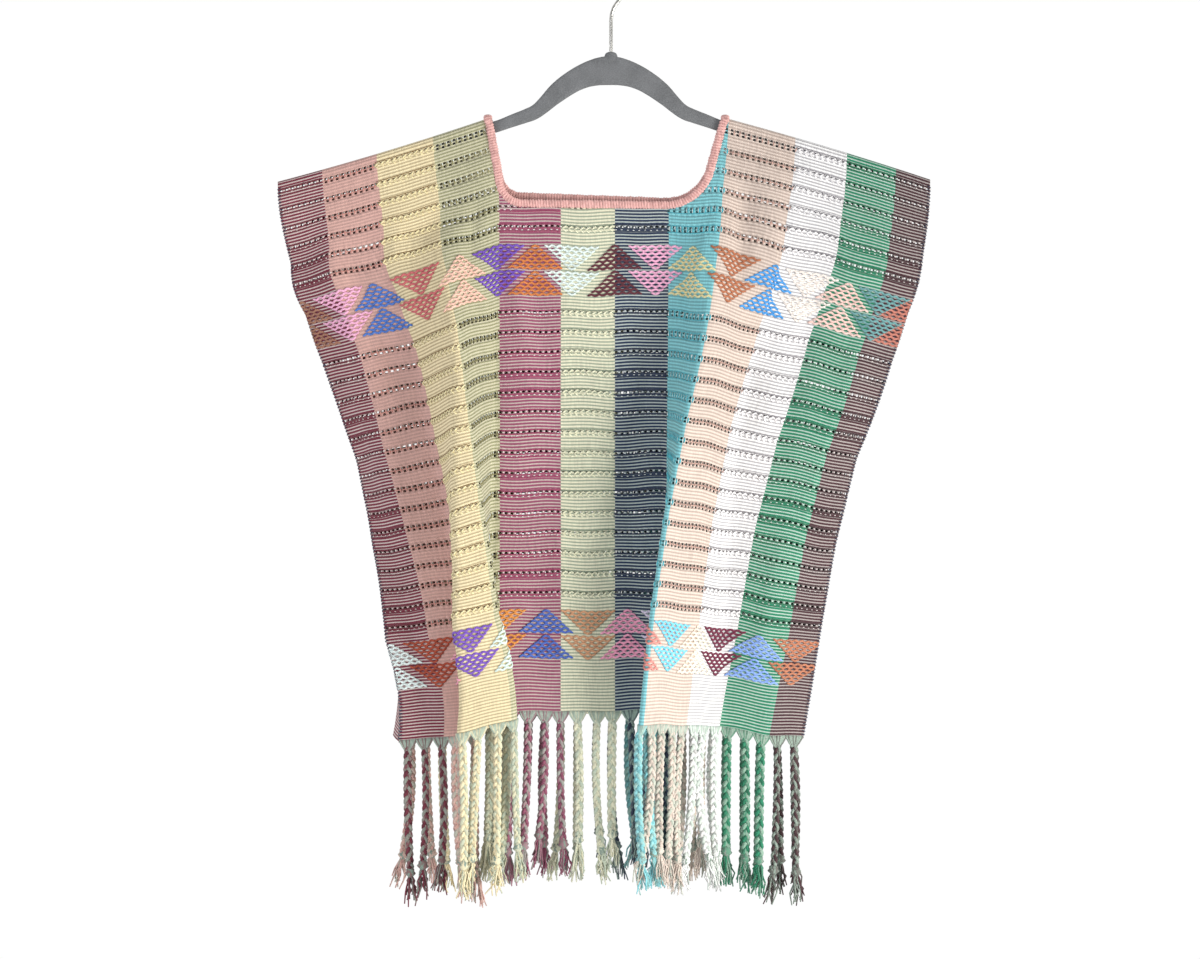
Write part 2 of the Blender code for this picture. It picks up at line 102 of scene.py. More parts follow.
BACK_FOLDS = (
    (-30, -30, 52, 46, 14, (0, 0, -30, -20, 6, 40, 56, 74, 94)),
    (88, 88, 128, 124, 13, (0, 0, 0, -8, -24, -48, -64, -74, -82)),
    (150, 152, 198, 190, 18, (0, 0, -22, -10, 18, 42, 54, 62, 68)),
    (250, 240, 288, 278, 13, (0, 0, 0, -6, -20, -38, -50, -60, -68)),
    (324, 314, 356, 344, 14, (0, 0, -8, 6, 20, 40, 52, 62, 70)),
    (402, 392, 454, 446, 18, (0, 0, 0, -12, -28, -48, -60, -68, -76)),
    (484, 482, 524, 520, 13, (0, 0, 10, 16, 24, 44, 58, 70, 80)),
    (556, 550, 650, 650, 14, (0, 0, 8, 4, -12, -38, -44, -40, -30)),
)

# Hem drop below its middle: place across, drop
FRONT_HEM_DROP = (
    (0, 26.0), (42, 23.5), (97, 19.0), (149, 8.5), (165, 4.0), (206, 0.0),
    (362, 0.0), (412, 10.5), (479, 12.5), (530, 16.5), (576, 23.5), (611, 25.5),
)
BACK_HEM_DROP = (
    (0, 26.0), (60, 21.0), (130, 13.0), (206, 4.0), (300, 0.0), (411, 3.0),
    (480, 11.0), (550, 19.0), (611, 25.5),
)

# %% [markdown]
# ## How the web hangs
#
# Cloth bends but hardly stretches, so each row of it is drawn like a bent
# wire: its direction seen from above is the sum of a few soft turns, and
# steps of the cloth's own length are added up along that direction. The row
# keeps its length whatever the folds do. A simulation would crease in other
# places than this blouse does, so the folds are listed instead.

# %% Turns, drops and heights
U_MAP = np.linspace(0.0, WEB_WIDTH, 490)
V_MAP = np.concatenate((np.linspace(0.0, WRAP, 6), np.linspace(10.0, PANEL_LENGTH, 137)))
SHARE = V_MAP / PANEL_LENGTH


def smooth(t):
    """Smooth step: 3t^2 - 2t^3 with t held between 0 and 1."""
    t = np.clip(t, 0.0, 1.0)
    return t * t * (3.0 - 2.0 * t)


def turn_of(u, share, folds):
    """Plan angle at every place and row: the sum of turn x (rise - fall) of each fold."""
    low = np.clip((share - ARMHOLE_ENDS_AT) / (1.0 - ARMHOLE_ENDS_AT), 0.0, 1.0)
    angle = np.zeros((len(u), len(share)))
    for start_a, start_h, end_a, end_h, soft, turns in folds:
        start = start_a + (start_h - start_a) * low
        end = end_a + (end_h - end_a) * low
        rise = smooth((u[:, None] - start) / soft + 0.5)
        fall = smooth((u[:, None] - end) / soft + 0.5)
        angle = angle + np.interp(share, LEVELS, turns) * (rise - fall)
    return np.radians(angle)


def top_drop(u):
    """Drop of the shoulder fold: a slightly bowed line from the neck to each sleeve's end."""
    left = np.clip(1.0 - u / SLEEVE_LEFT, 0.0, 1.0)
    right = np.clip((u - SLEEVE_RIGHT) / (WEB_WIDTH - SLEEVE_RIGHT), 0.0, 1.0)
    left = LEFT_DROP * (left + 0.12 * left * (1.0 - left))
    right = RIGHT_DROP * (right - 0.10 * right * (1.0 - right))
    return left + right


def heights(u, v, hem_drop):
    """Height: round the fold's quarter circle first, then evenly from shoulder line to hem line."""
    share = np.maximum(v - WRAP, 0.0) / (PANEL_LENGTH - WRAP)
    sink = FOLD_RADIUS * (1.0 - np.cos(np.minimum(v / FOLD_RADIUS, 0.5 * np.pi)))
    middle = SHOULDER_Z - sink + (HEM_Z + FOLD_RADIUS - SHOULDER_Z) * share
    table = np.array(hem_drop)
    low = np.interp(u, table[:, 0], table[:, 1])
    return middle - (top_drop(u)[:, None] * (1.0 - share) + low[:, None] * share)


def steps_along(z, angle):
    """Sideways and outward steps: the step's level length times the turn's cosine and sine."""
    level = np.sqrt(np.maximum(np.diff(U_MAP)[:, None] ** 2 - np.diff(z, axis=0) ** 2, 0.0))
    return level * np.cos(angle), level * np.sin(angle)


def added_up(steps):
    """Running total of steps along u, starting at zero."""
    return np.concatenate((np.zeros((1, steps.shape[1])), np.cumsum(steps, axis=0)))


def at_place(grid, u):
    """One value per row of a grid at place u, read between its two nearest columns."""
    column = np.interp(u, U_MAP, np.arange(len(U_MAP)))
    low = int(column)
    return grid[low] + (grid[low + 1] - grid[low]) * (column - low)


U_HALF = 0.5 * (U_MAP[1:] + U_MAP[:-1])

# %% The front and back surfaces
def front_surface():
    """Front rows, held at the middle of the neck and eased out at the shoulders."""
    z = heights(U_MAP, V_MAP, FRONT_HEM_DROP)
    dx, dy = steps_along(z, turn_of(U_HALF, SHARE, FRONT_FOLDS))
    x, off = added_up(dx), added_up(dy)
    side = np.interp(U_MAP, (SLEEVE_LEFT, SLEEVE_RIGHT), (-NECK_SPREAD_LEFT, NECK_SPREAD_RIGHT))
    x = x - at_place(x, CENTRE_U) + CENTRE_X + side[:, None] * (1.0 - smooth(SHARE / SPREAD_FADES_AT))
    off = off - at_place(off, CENTRE_U) + np.interp(SHARE, LEVELS, FRONT_STAND)
    out = np.sin(np.minimum(V_MAP / FOLD_RADIUS, 0.5 * np.pi))
    return np.stack((x, -off * out, z), axis=2)


def side_gap():
    """Front-to-back distance at the sides: an armhole that bellies, then the joined seam."""
    along = np.clip(SHARE / ARMHOLE_ENDS_AT, 0.0, 1.0)
    start, end = 2.0 * FOLD_RADIUS, 2.0 * SIDE_STEP
    return start + (end - start) * smooth(along) + ARMHOLE_BELLY * np.sin(np.pi * along)


def back_surface(front):
    """Back rows: their turns are scaled, by halving, until each row ends at the front's sides."""
    z = heights(U_MAP, V_MAP, BACK_HEM_DROP)
    angle = turn_of(U_HALF, SHARE, BACK_FOLDS)
    width = front[-1, :, 0] - front[0, :, 0]
    low, high = np.zeros(len(V_MAP)), np.full(len(V_MAP), 1.7)
    for _halving in range(30):
        scale = 0.5 * (low + high)
        wide = steps_along(z, angle * scale)[0].sum(axis=0) > width
        low, high = np.where(wide, scale, low), np.where(wide, high, scale)
    dx, dy = steps_along(z, angle * scale)
    x, off = added_up(dx), added_up(dy)
    x = front[0, :, 0] + x * width / x[-1]
    left = front[0, :, 1] + side_gap()
    right = front[-1, :, 1] + side_gap()
    off = off + left + (right - left - off[-1]) * (U_MAP / WEB_WIDTH)[:, None]
    near = np.array([np.interp(x[:, j], front[:, j, 0], front[:, j, 1]) for j in range(len(V_MAP))]).T
    least = near + side_gap()
    pushed = 0.5 * (off + least + np.sqrt((off - least) ** 2 + 1.0))
    off = np.where(SHARE < CLOSE_ABOVE, pushed, off)
    back = np.stack((x, off, z), axis=2)
    mirrored = front * np.array([1.0, -1.0, 1.0])
    return np.where((V_MAP < WRAP)[None, :, None], mirrored, back)


def normals_of(points, outward):
    """Unit normals: the cross product of the surface's two directions, turned to face outward."""
    normal = np.cross(np.gradient(points, axis=0), np.gradient(points, axis=1))
    normal = normal / np.linalg.norm(normal, axis=2, keepdims=True)
    return normal * np.sign(np.median(normal[:, 20:, 1])) * outward


# %% [markdown]
# ## Soft creases
#
# Besides the big folds, hung cotton has shallow troughs where it pulls from
# the neck corners and the armholes, and slight waves between the openwork
# rows. Each crease is a line on the cloth with a soft bell-shaped section
# that fades out at both ends. They are uneven on purpose.

# %% Creases laid on both panels
# Multiplies the height of every crease, so all can be deepened or flattened together
CREASE_DEPTH = 2.2
# Columns: from u, from v, to u, to v, half width, height out of the cloth before that factor (mm)
FRONT_CREASES = (
    (214, 96, 236, 236, 9, 1.5), (188, 60, 170, 176, 8, -1.3), (232, 110, 262, 300, 11, -1.2),
    (60, 70, 74, 250, 12, -1.6), (24, 150, 34, 380, 10, 1.4), (110, 40, 100, 190, 11, 1.5),
    (372, 98, 392, 210, 8, -1.6), (404, 92, 398, 180, 7, 1.3), (430, 40, 446, 170, 9, -1.7),
    (470, 60, 484, 240, 12, 1.6), (520, 90, 536, 330, 13, -1.4), (578, 110, 586, 300, 10, 1.3),
    (300, 180, 296, 420, 16, 1.0), (338, 150, 346, 330, 10, -1.0), (268, 330, 262, 540, 12, 1.1),
    (462, 4, 470, 190, 26, 3.0), (202, 8, 199, 120, 22, 2.2), (560, 330, 552, 520, 12, 1.5),
    (498, 300, 506, 470, 12, 1.0), (30, 420, 22, 545, 10, -1.3),
)
BACK_CREASES = (
    (200, 90, 226, 240, 10, 1.5), (410, 90, 392, 260, 11, -1.5), (70, 60, 84, 250, 12, 1.6),
    (300, 110, 306, 330, 15, -1.2), (540, 80, 530, 280, 12, 1.5), (140, 60, 150, 220, 10, -1.4),
    (470, 60, 462, 220, 11, 1.4), (360, 300, 366, 520, 12, 1.2), (110, 330, 104, 520, 11, -1.2),
    (580, 200, 574, 420, 10, -1.2),
)


def crease_height(creases):
    """Sum of bells: height x exp(-(distance / half width)^2), faded at both ends of each line."""
    u, v = np.meshgrid(U_MAP, V_MAP, indexing="ij")
    total = np.zeros_like(u)
    for u0, v0, u1, v1, half, height in creases:
        length = np.hypot(u1 - u0, v1 - v0)
        along = ((u - u0) * (u1 - u0) + (v - v0) * (v1 - v0)) / length ** 2
        apart = ((u - u0) * (v1 - v0) - (v - v0) * (u1 - u0)) / length
        fade = smooth(along / 0.35) * smooth((1.0 - along) / 0.35)
        total = total + height * fade * np.exp(-(apart / half) ** 2)
    ease = smooth((V_MAP - 12.0) / 30.0)
    return total * ease[None, :]


def ripple(phase):
    """Small waves of a quarter millimetre: two sines across times one down."""
    u, v = np.meshgrid(U_MAP, V_MAP, indexing="ij")
    wave = np.sin(u / 11.0 + phase + 0.8 * np.sin(v / 37.0)) * np.sin(v / 9.3 + u / 60.0)
    return 0.25 * wave * smooth((V_MAP - 12.0) / 20.0)[None, :]


def sag(phase):
    """Wandering of the weft lines, up to about 1.5 mm: sum of three slow waves over u and v."""
    u, v = np.meshgrid(U_MAP, V_MAP, indexing="ij")
    wave = np.sin(u / 15.0 + phase + np.sin(v / 61.0)) + 0.8 * np.sin(u / 8.3 - v / 47.0 + 2.0 * phase)
    wave = wave + 0.6 * np.sin(u / 31.0 + v / 29.0)
    return 0.62 * wave * smooth((V_MAP - 25.0) / 60.0)[None, :]


def creased(points, outward, creases, phase):
    """Surface moved out along its normals by creases and ripples, and down by the sag; new normals."""
    normal = normals_of(points, outward)
    moved = points + normal * (CREASE_DEPTH * crease_height(creases) + ripple(phase))[:, :, None]
    moved[:, :, 2] -= sag(phase)
    return moved, normals_of(moved, outward)


plain_front = front_surface()
PANEL = {
    "front": creased(plain_front, -1.0, FRONT_CREASES, 0.4),
    "back": creased(back_surface(plain_front), 1.0, BACK_CREASES, 2.1),
}
print("front, mm:", PANEL["front"][0].min(axis=(0, 1)).round(1), PANEL["front"][0].max(axis=(0, 1)).round(1))

# %% Reading a place on the cloth
def on_cloth(side, u, v, lift=0.0):
    """Point at (u, v), between its four nearest map points, moved out along the normal by lift.

    Past an edge it goes straight on along u.
    """
    points, normals = PANEL[side]
    u, v, lift = np.broadcast_arrays(*(np.asarray(a, dtype=float) for a in (u, v, lift)))
    inside = np.clip(u, 0.0, WEB_WIDTH)
    column = np.interp(inside, U_MAP, np.arange(len(U_MAP)))
    row = np.interp(v, V_MAP, np.arange(len(V_MAP)))
    i = np.minimum(column.astype(int), len(U_MAP) - 2)
    j = np.minimum(row.astype(int), len(V_MAP) - 2)
    a, b = (column - i)[..., None], (row - j)[..., None]

    def between(grid):
        """Mean of a grid's four nearest values, weighted by how near each is."""
        near = grid[i, j] * (1.0 - a) + grid[i + 1, j] * a
        far = grid[i, j + 1] * (1.0 - a) + grid[i + 1, j + 1] * a
        return near * (1.0 - b) + far * b

    across = points[i + 1, j] - points[i, j]
    across = across / np.linalg.norm(across, axis=-1, keepdims=True)
    normal = between(normals)
    normal = normal / np.linalg.norm(normal, axis=-1, keepdims=True)
    return between(points) + across * (u - inside)[..., None] + normal * lift[..., None]


# %% [markdown]
# ## Making meshes from arrays
#
# Yarn, braids, wire and stitches are all tubes: a small section carried
# along a path. One function lofts any number of them at once, so thousands
# of stitches become one mesh.

# %% Mesh helpers
UP = np.array((0.0, 0.0, 1.0))
BACKWARD = np.array((0.0, 1.0, 0.0))
# A yarn's second ply is this much darker, unless it has a colour of its own
PLY_SHADE = np.array([0.78, 0.78, 0.78, 1.0])


def new_object(name, verts, faces, material, colours=None, flecks=None, uv=None, shade=True):
    """Mesh object from points in millimetres; colours go on points and uv on face corners."""
    mesh = bpy.data.meshes.new(name)
    mesh.from_pydata((np.asarray(verts) * MM).tolist(), [], faces)
    for label, values in (("yarn_colour", colours), ("yarn_fleck", flecks)):
        if values is not None:
            layer = mesh.color_attributes.new(label, "FLOAT_COLOR", "POINT")
            layer.data.foreach_set("color", np.asarray(values, dtype=np.float32).ravel())
    if uv is not None:
        layer = mesh.uv_layers.new(name="web")
        corner = np.zeros(len(mesh.loops), dtype=np.int32)
        mesh.loops.foreach_get("vertex_index", corner)
        layer.data.foreach_set("uv", np.asarray(uv, dtype=np.float32)[corner].ravel())
    if shade:
        mesh.shade_smooth()
    mesh.materials.append(material)
    mesh.update()
    item = bpy.data.objects.new(name, mesh)
    bpy.context.scene.collection.objects.link(item)
    return item


def unit(vectors):
    """Vectors of length one."""
    return vectors / np.maximum(np.linalg.norm(vectors, axis=-1, keepdims=True), 1e-9)


def tubes(paths, up, wide, high, sides, power=1.0):
    """Loft many tubes: paths (tubes, rings, 3); the section's height follows up, its width is across.

    Point = centre + wide cos(a) across + high sin(a) up. Each end is closed with one face.
    """
    count, rings = paths.shape[:2]
    along = unit(np.gradient(paths, axis=1))
    across = unit(np.cross(along, up))
    upright = np.cross(across, along)
    angle = np.linspace(0.0, 2.0 * np.pi, sides, endpoint=False)
    c = np.sign(np.cos(angle)) * np.abs(np.cos(angle)) ** power
    s = np.sign(np.sin(angle)) * np.abs(np.sin(angle)) ** power
    wide = np.broadcast_to(wide, (count, rings))[:, :, None, None]
    high = np.broadcast_to(high, (count, rings))[:, :, None, None]
    verts = paths[:, :, None] + wide * c[:, None] * across[:, :, None]
    verts = verts + high * s[:, None] * upright[:, :, None]
    index = np.arange(count * rings * sides).reshape(count, rings, sides)
    after = np.roll(index, -1, axis=2)
    quads = np.stack((index[:, :-1], index[:, 1:], after[:, 1:], after[:, :-1]), axis=-1)
    faces = quads.reshape(-1, 4).tolist()
    faces += index[:, 0].tolist() + index[:, -1, ::-1].tolist()
    return verts.reshape(-1, 3), faces


class Bundle:
    """Collects the points, faces and colours of many tubes into one mesh."""

    def __init__(self):
        """Empty lists of points, faces and colours, and no points counted yet."""
        self.verts, self.faces, self.colours, self.flecks, self.count = [], [], [], [], 0

    def add(self, verts, faces, colour, fleck=None):
        """colour is one colour, or one per tube in order; fleck is the thread plied with it."""
        self.verts.append(verts)
        self.faces += [[k + self.count for k in face] for face in faces]
        colour = np.atleast_2d(colour)
        fleck = colour * PLY_SHADE if fleck is None else np.broadcast_to(fleck, colour.shape)
        self.colours.append(np.repeat(colour, len(verts) // len(colour), axis=0))
        self.flecks.append(np.repeat(fleck, len(verts) // len(colour), axis=0))
        self.count += len(verts)

    def make(self, name, material):
        """The finished object."""
        colours, flecks = np.concatenate(self.colours), np.concatenate(self.flecks)
        return new_object(name, np.concatenate(self.verts), self.faces, material, colours, flecks)


def stand_for(piece, slot, *nodes):
    """Ride on the one body and stand for frame nodes if any are given; slot is not used."""
    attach(piece, "root")
    if nodes:
        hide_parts(*nodes)
    triangles = sum(len(p.vertices) - 2 for p in piece.data.polygons)
    print(f"{piece.name}: {triangles} triangles")
    return piece

# %% [markdown]
# ## Colours and the one node helper
#
# Colours are chosen as sRGB hex values, because that is how a dyer's card or
# a screen shows them, and turned linear for the shader by one function.

# %% Colour and node helpers
def linear(code):
    """Linear RGBA of an sRGB hex colour: the standard curve, 2.4 power above 0.04045."""
    value = np.array([int(code[k:k + 2], 16) for k in (1, 3, 5)]) / 255.0
    value = np.where(value <= 0.04045, value / 12.92, ((value + 0.055) / 1.055) ** 2.4)
    return (*value.tolist(), 1.0)


def add(tree, kind, inputs=None, **settings):
    """Add a node, set its properties, and give each input a value or a link."""
    node = tree.nodes.new(kind)
    for key, value in settings.items():
        setattr(node, key, value)
    for key, value in (inputs or {}).items():
        if isinstance(value, bpy.types.NodeSocket):
            tree.links.new(value, node.inputs[key])
        else:
            node.inputs[key].default_value = value
    return node


def new_material(name, roughness, **sockets):
    """Material with one Principled shader, whose constant sockets are set on the shader."""
    material = bpy.data.materials.new(name)
    material.use_nodes = True
    shader = material.node_tree.nodes["Principled BSDF"]
    shader.inputs["Roughness"].default_value = roughness
    for key, value in sockets.items():
        shader.inputs[key.replace("_", " ")].default_value = value
    return material, material.node_tree, shader


# %% [markdown]
# ## The striped cotton
#
# The web is a warp of twelve coloured stripes crossed by a sage-grey weft.
# The weft shows as fine ribs every 3 mm, strongly on the dark stripes and
# faintly on the pale ones. A step ramp over u gives each stripe its warp
# colour, a second one the colour of its ribs, and a wave over v lays the
# ribs between them. Real threads are about 0.4 mm, too fine to show here, so
# the lengthwise grain is drawn at about 1.2 mm.

# %% Stripe colours
# The dyes are given a warp and its ribs at a time.
# Columns: name, warp, rib, kind of openwork, its main thread, its second thread
STRIPES = (
    ("maroon", "#702036", "#c4b4b0", "lines", "#6f1c30", "#e9dfd9"),
    ("rose", "#cea49b", "#b9958d", "dots", "#cd8f84", "#8d9a95"),
    ("yellow", "#e8d9b2", "#b4a480", "leaves", "#f0e3b4", "#7d5c22"),
    ("olive", "#c8c4a8", "#90906c", "dots", "#8a8458", "#e3ebe8"),
    ("magenta", "#8e4864", "#b8a8a4", "diamonds", "#a03c63", "#eadddd"),
    ("pale green", "#dedcc2", "#949f8c", "leaves", "#e9e9cd", "#76866f"),
    ("navy", "#1e2e4a", "#acb6b4", "lines", "#182846", "#e3e8e7"),
    ("turquoise", "#84cad2", "#68a0a8", "bars", "#4fb6c6", "#cfe7e7"),
    ("beige", "#d8c8bd", "#b2a096", "dots", "#cda598", "#86807c"),
    ("white", "#eeeeee", "#aaa8ac", "leaves", "#f7f5f7", "#7f7a82"),
    ("green", "#187858", "#a6beb2", "lines", "#0f6a48", "#dcebe3"),
    ("plum", "#3e1e26", "#9e9694", "lines", "#38171f", "#ddd6d3"),
)
RIB_PITCH = 3.0 * MM
GRAIN = 1.2 * MM


def stripe_ramp(tree, factor, column):
    """Step ramp over the web's width, one stop at the start of each stripe."""
    ramp = add(tree, "ShaderNodeValToRGB", {"Fac": factor})
    ramp.color_ramp.interpolation = "CONSTANT"
    stops = ramp.color_ramp.elements
    # A new ramp ends in a white stop, which would colour the web's edge
    stops.remove(stops[1])
    starts = np.concatenate(((0.0,), STRIPE_ENDS[:-1])) / WEB_WIDTH
    for start, stripe in zip(starts[1:], STRIPES[1:]):
        stops.new(float(start)).color = linear(stripe[column])
    stops[0].color = linear(STRIPES[0][column])
    return ramp.outputs["Color"]


# %% Striped cotton material
def striped_cotton():
    """Hand-woven cotton: matt, soft, with a slight sheen from its fibres."""
    material, tree, shader = new_material(
        "striped_handwoven_cotton", 0.88, Sheen_Weight=0.12, Sheen_Roughness=0.45,
    )
    uv = add(tree, "ShaderNodeUVMap", uv_map="web")
    place = add(tree, "ShaderNodeSeparateXYZ", {0: uv.outputs["UV"]})
    across, down = place.outputs["X"], place.outputs["Y"]
    factor = add(tree, "ShaderNodeMath", {0: across, 1: WEB_WIDTH * MM}, operation="DIVIDE")
    warp = stripe_ramp(tree, factor.outputs[0], 1)
    rib = stripe_ramp(tree, factor.outputs[0], 2)

    # Each weft rib wanders a little, as hand beating leaves it
    wander = add(tree, "ShaderNodeTexNoise", {"Vector": uv.outputs["UV"], "Scale": 40.0, "Detail": 1.0})
    shift = add(tree, "ShaderNodeMath", {0: wander.outputs["Fac"], 1: 0.5 * MM}, operation="MULTIPLY")
    moved = add(tree, "ShaderNodeMath", {0: down, 1: shift.outputs[0]}, operation="ADD")
    turn = add(tree, "ShaderNodeMath", {0: moved.outputs[0], 1: 2 * np.pi / RIB_PITCH}, operation="MULTIPLY")
    wave = add(tree, "ShaderNodeMath", {0: turn.outputs[0]}, operation="SINE")
    mask = add(
        tree, "ShaderNodeMapRange",
        {"Value": wave.outputs[0], "From Min": -0.25, "From Max": 0.75},
        interpolation_type="SMOOTHSTEP",
    )
    woven = add(
        tree, "ShaderNodeMix", {0: mask.outputs["Result"], 6: warp, 7: rib}, data_type="RGBA",
    )

    # Lengthwise grain: noise squeezed across the web
    grain_place = add(
        tree, "ShaderNodeMapping",
        {"Vector": uv.outputs["UV"], "Scale": (1.0 / GRAIN, 0.08 / GRAIN, 1.0)},
    )
    grain = add(tree, "ShaderNodeTexNoise", {"Vector": grain_place.outputs[0], "Scale": 1.0, "Detail": 2.0})
    blotch = add(tree, "ShaderNodeTexNoise", {"Vector": uv.outputs["UV"], "Scale": 14.0, "Detail": 3.0})
    both = add(
        tree, "ShaderNodeMath",
        {0: grain.outputs["Fac"], 1: 0.5, 2: 0.75}, operation="MULTIPLY_ADD",
    )
    uneven = add(
        tree, "ShaderNodeMath",
        {0: blotch.outputs["Fac"], 1: 0.24, 2: -0.12}, operation="MULTIPLY_ADD",
    )
    value = add(tree, "ShaderNodeMath", {0: both.outputs[0], 1: uneven.outputs[0]}, operation="ADD")
    toned = add(tree, "ShaderNodeHueSaturation", {"Value": value.outputs[0], "Color": woven.outputs[2]})
    tree.links.new(toned.outputs["Color"], shader.inputs["Base Color"])

    relief = add(
        tree, "ShaderNodeMath",
        {0: grain.outputs["Fac"], 1: 0.5, 2: wave.outputs[0]}, operation="MULTIPLY_ADD",
    )
    bump = add(tree, "ShaderNodeBump", {"Strength": 0.7, "Distance": 0.35 * MM, "Height": relief.outputs[0]})
    tree.links.new(bump.outputs["Normal"], shader.inputs["Normal"])
    return material


COTTON = striped_cotton()
print("material:", COTTON.name)

# %% [markdown]
# ## The openwork grid
#
# On the loom the openwork is picked up by hand: a few warps are crossed and
# left a hole between them. The holes are real here. The web's mesh has its
# columns and rows where the holes' edges are, so a hole is a face left out.
# Six rows lie above the upper brocade band and fifteen between the bands.
# The thin wall comes from a Solidify modifier.

# %% Places of the openwork
REPEATS = 113
REPEAT = WEB_WIDTH / REPEATS
OPEN_ROWS = np.concatenate((13.5 + 18.4 * np.arange(6), 184.5 + 18.6 * np.arange(15)))
# A hole reaches from HOLE_NEAR to HOLE_FAR above or below its row's line
HOLE_WIDTH = 2.5
HOLE_NEAR = 0.5
HOLE_FAR = 2.7
# Which lines of holes each kind has: 0 above the row's line, 1 below it
HOLES_IN = {"lines": (0,), "dots": (0, 1), "leaves": (0,), "diamonds": (0,), "bars": (0, 1)}
CLOTH_WALL = 0.9
GRID_STEP = 4.7
REPEAT_U = (np.arange(REPEATS) + 0.5) * REPEAT


def stripe_of(u):
    """Number of the stripe that each place is in."""
    return np.minimum(np.searchsorted(STRIPE_ENDS, u, side="right"), len(STRIPES) - 1)


def grid_columns():
    """Columns on both sides of every hole, and the two edges."""
    edges = np.concatenate((REPEAT_U - 0.5 * HOLE_WIDTH, REPEAT_U + 0.5 * HOLE_WIDTH))
    return np.sort(np.concatenate(((0.0, WEB_WIDTH), edges)))


def grid_rows(hole_lines):
    """Rows at the holes' edges, and a few evenly between them."""
    lines = (OPEN_ROWS[:, None] + np.array(hole_lines)).ravel()
    lines = np.concatenate((np.linspace(0.0, WRAP, 4), lines, (PANEL_LENGTH,)))
    rows = [lines[:1]]
    for start, end in zip(lines[:-1], lines[1:]):
        pieces = max(1, int(round((end - start) / GRID_STEP)))
        rows.append(np.linspace(start, end, pieces + 1)[1:])
    return np.concatenate(rows)


# %% [markdown]
# ## The neck's line
#
# The neck is a trapezium with round corners, cut through both layers. The
# cloth's points near it are pushed onto the line, so the cut edge is smooth,
# and the binding then hides it.

# %% The neck's outline in front view
NECK_LEFT_TOP = -113.9
NECK_RIGHT_TOP = 105.6
NECK_LEFT_LOW = -100.4
NECK_RIGHT_LOW = 84.0
NECK_Z = {"front": -243.3, "back": -238.0}
NECK_TILT = {"front": 1.2, "back": 3.4}
NECK_LEFT_RADIUS = 22.0
NECK_RIGHT_RADIUS = 42.0
CLOTH_UNDER_BINDING = 1.5
LEAST_MARGIN = 0.8
FAR_FROM_NECK = 99.0


def fillet(before, corner, after, radius, count):
    """Arc tangent to both sides of a corner: centre on the bisector at radius / sin(half angle)."""
    to_before, to_after = unit(before - corner), unit(after - corner)
    half = 0.5 * np.arccos(np.clip(np.dot(to_before, to_after), -1.0, 1.0))
    centre = corner + unit(to_before + to_after) * radius / np.sin(half)
    first = corner + to_before * radius / np.tan(half) - centre
    last = corner + to_after * radius / np.tan(half) - centre
    total = np.arctan2(first[0] * last[1] - first[1] * last[0], np.dot(first, last))
    steps = np.linspace(0.0, total, count)
    c, s = np.cos(steps), np.sin(steps)
    return centre + np.stack((first[0] * c - first[1] * s, first[0] * s + first[1] * c), axis=1)


def neck_line(side, top_z, outward):
    """Neck from the left shoulder round to the right one, set outward from the binding's middle.

    Its lower edge is higher on the left by twice the side's tilt.
    """
    low_z, tilt = NECK_Z[side], NECK_TILT[side]
    down = low_z - SHOULDER_Z
    left = unit(np.array([NECK_LEFT_LOW - NECK_LEFT_TOP, down]))
    right = unit(np.array([NECK_RIGHT_LOW - NECK_RIGHT_TOP, down]))
    left_x = NECK_LEFT_TOP - outward / abs(left[1])
    right_x = NECK_RIGHT_TOP + outward / abs(right[1])
    low = low_z - outward
    p0 = np.array([left_x + left[0] / left[1] * (top_z - SHOULDER_Z), top_z])
    p1 = np.array([left_x + left[0] / left[1] * (low + tilt - SHOULDER_Z), low + tilt])
    p2 = np.array([right_x + right[0] / right[1] * (low - tilt - SHOULDER_Z), low - tilt])
    p3 = np.array([right_x + right[0] / right[1] * (top_z - SHOULDER_Z), top_z])
    first = fillet(p0, p1, p2, NECK_LEFT_RADIUS + outward, 16)
    second = fillet(p1, p2, p3, NECK_RIGHT_RADIUS + outward, 20)
    return np.concatenate((p0[None], first, second, p3[None]))


def spaced(line, step):
    """Points at equal distances along a line."""
    length = np.concatenate(([0.0], np.cumsum(np.linalg.norm(np.diff(line, axis=0), axis=1))))
    at = np.linspace(0.0, length[-1], int(length[-1] / step) + 1)
    return np.stack([np.interp(at, length, line[:, k]) for k in range(line.shape[1])], axis=1)


def neck_distance(points, side, outward):
    """Signed distance to the neck's line in front view, minus inside, and the way straight out."""
    line = spaced(neck_line(side, SHOULDER_Z + 30.0, outward), 1.0)
    along = unit(np.gradient(line, axis=0))
    out = np.stack((along[:, 1], -along[:, 0]), axis=1)
    place = points[:, [0, 2]]
    nearest = np.argmin(((place[:, None] - line[None]) ** 2).sum(axis=2), axis=1)
    offset = ((place - line[nearest]) * out[nearest]).sum(axis=1)
    return offset, out[nearest]


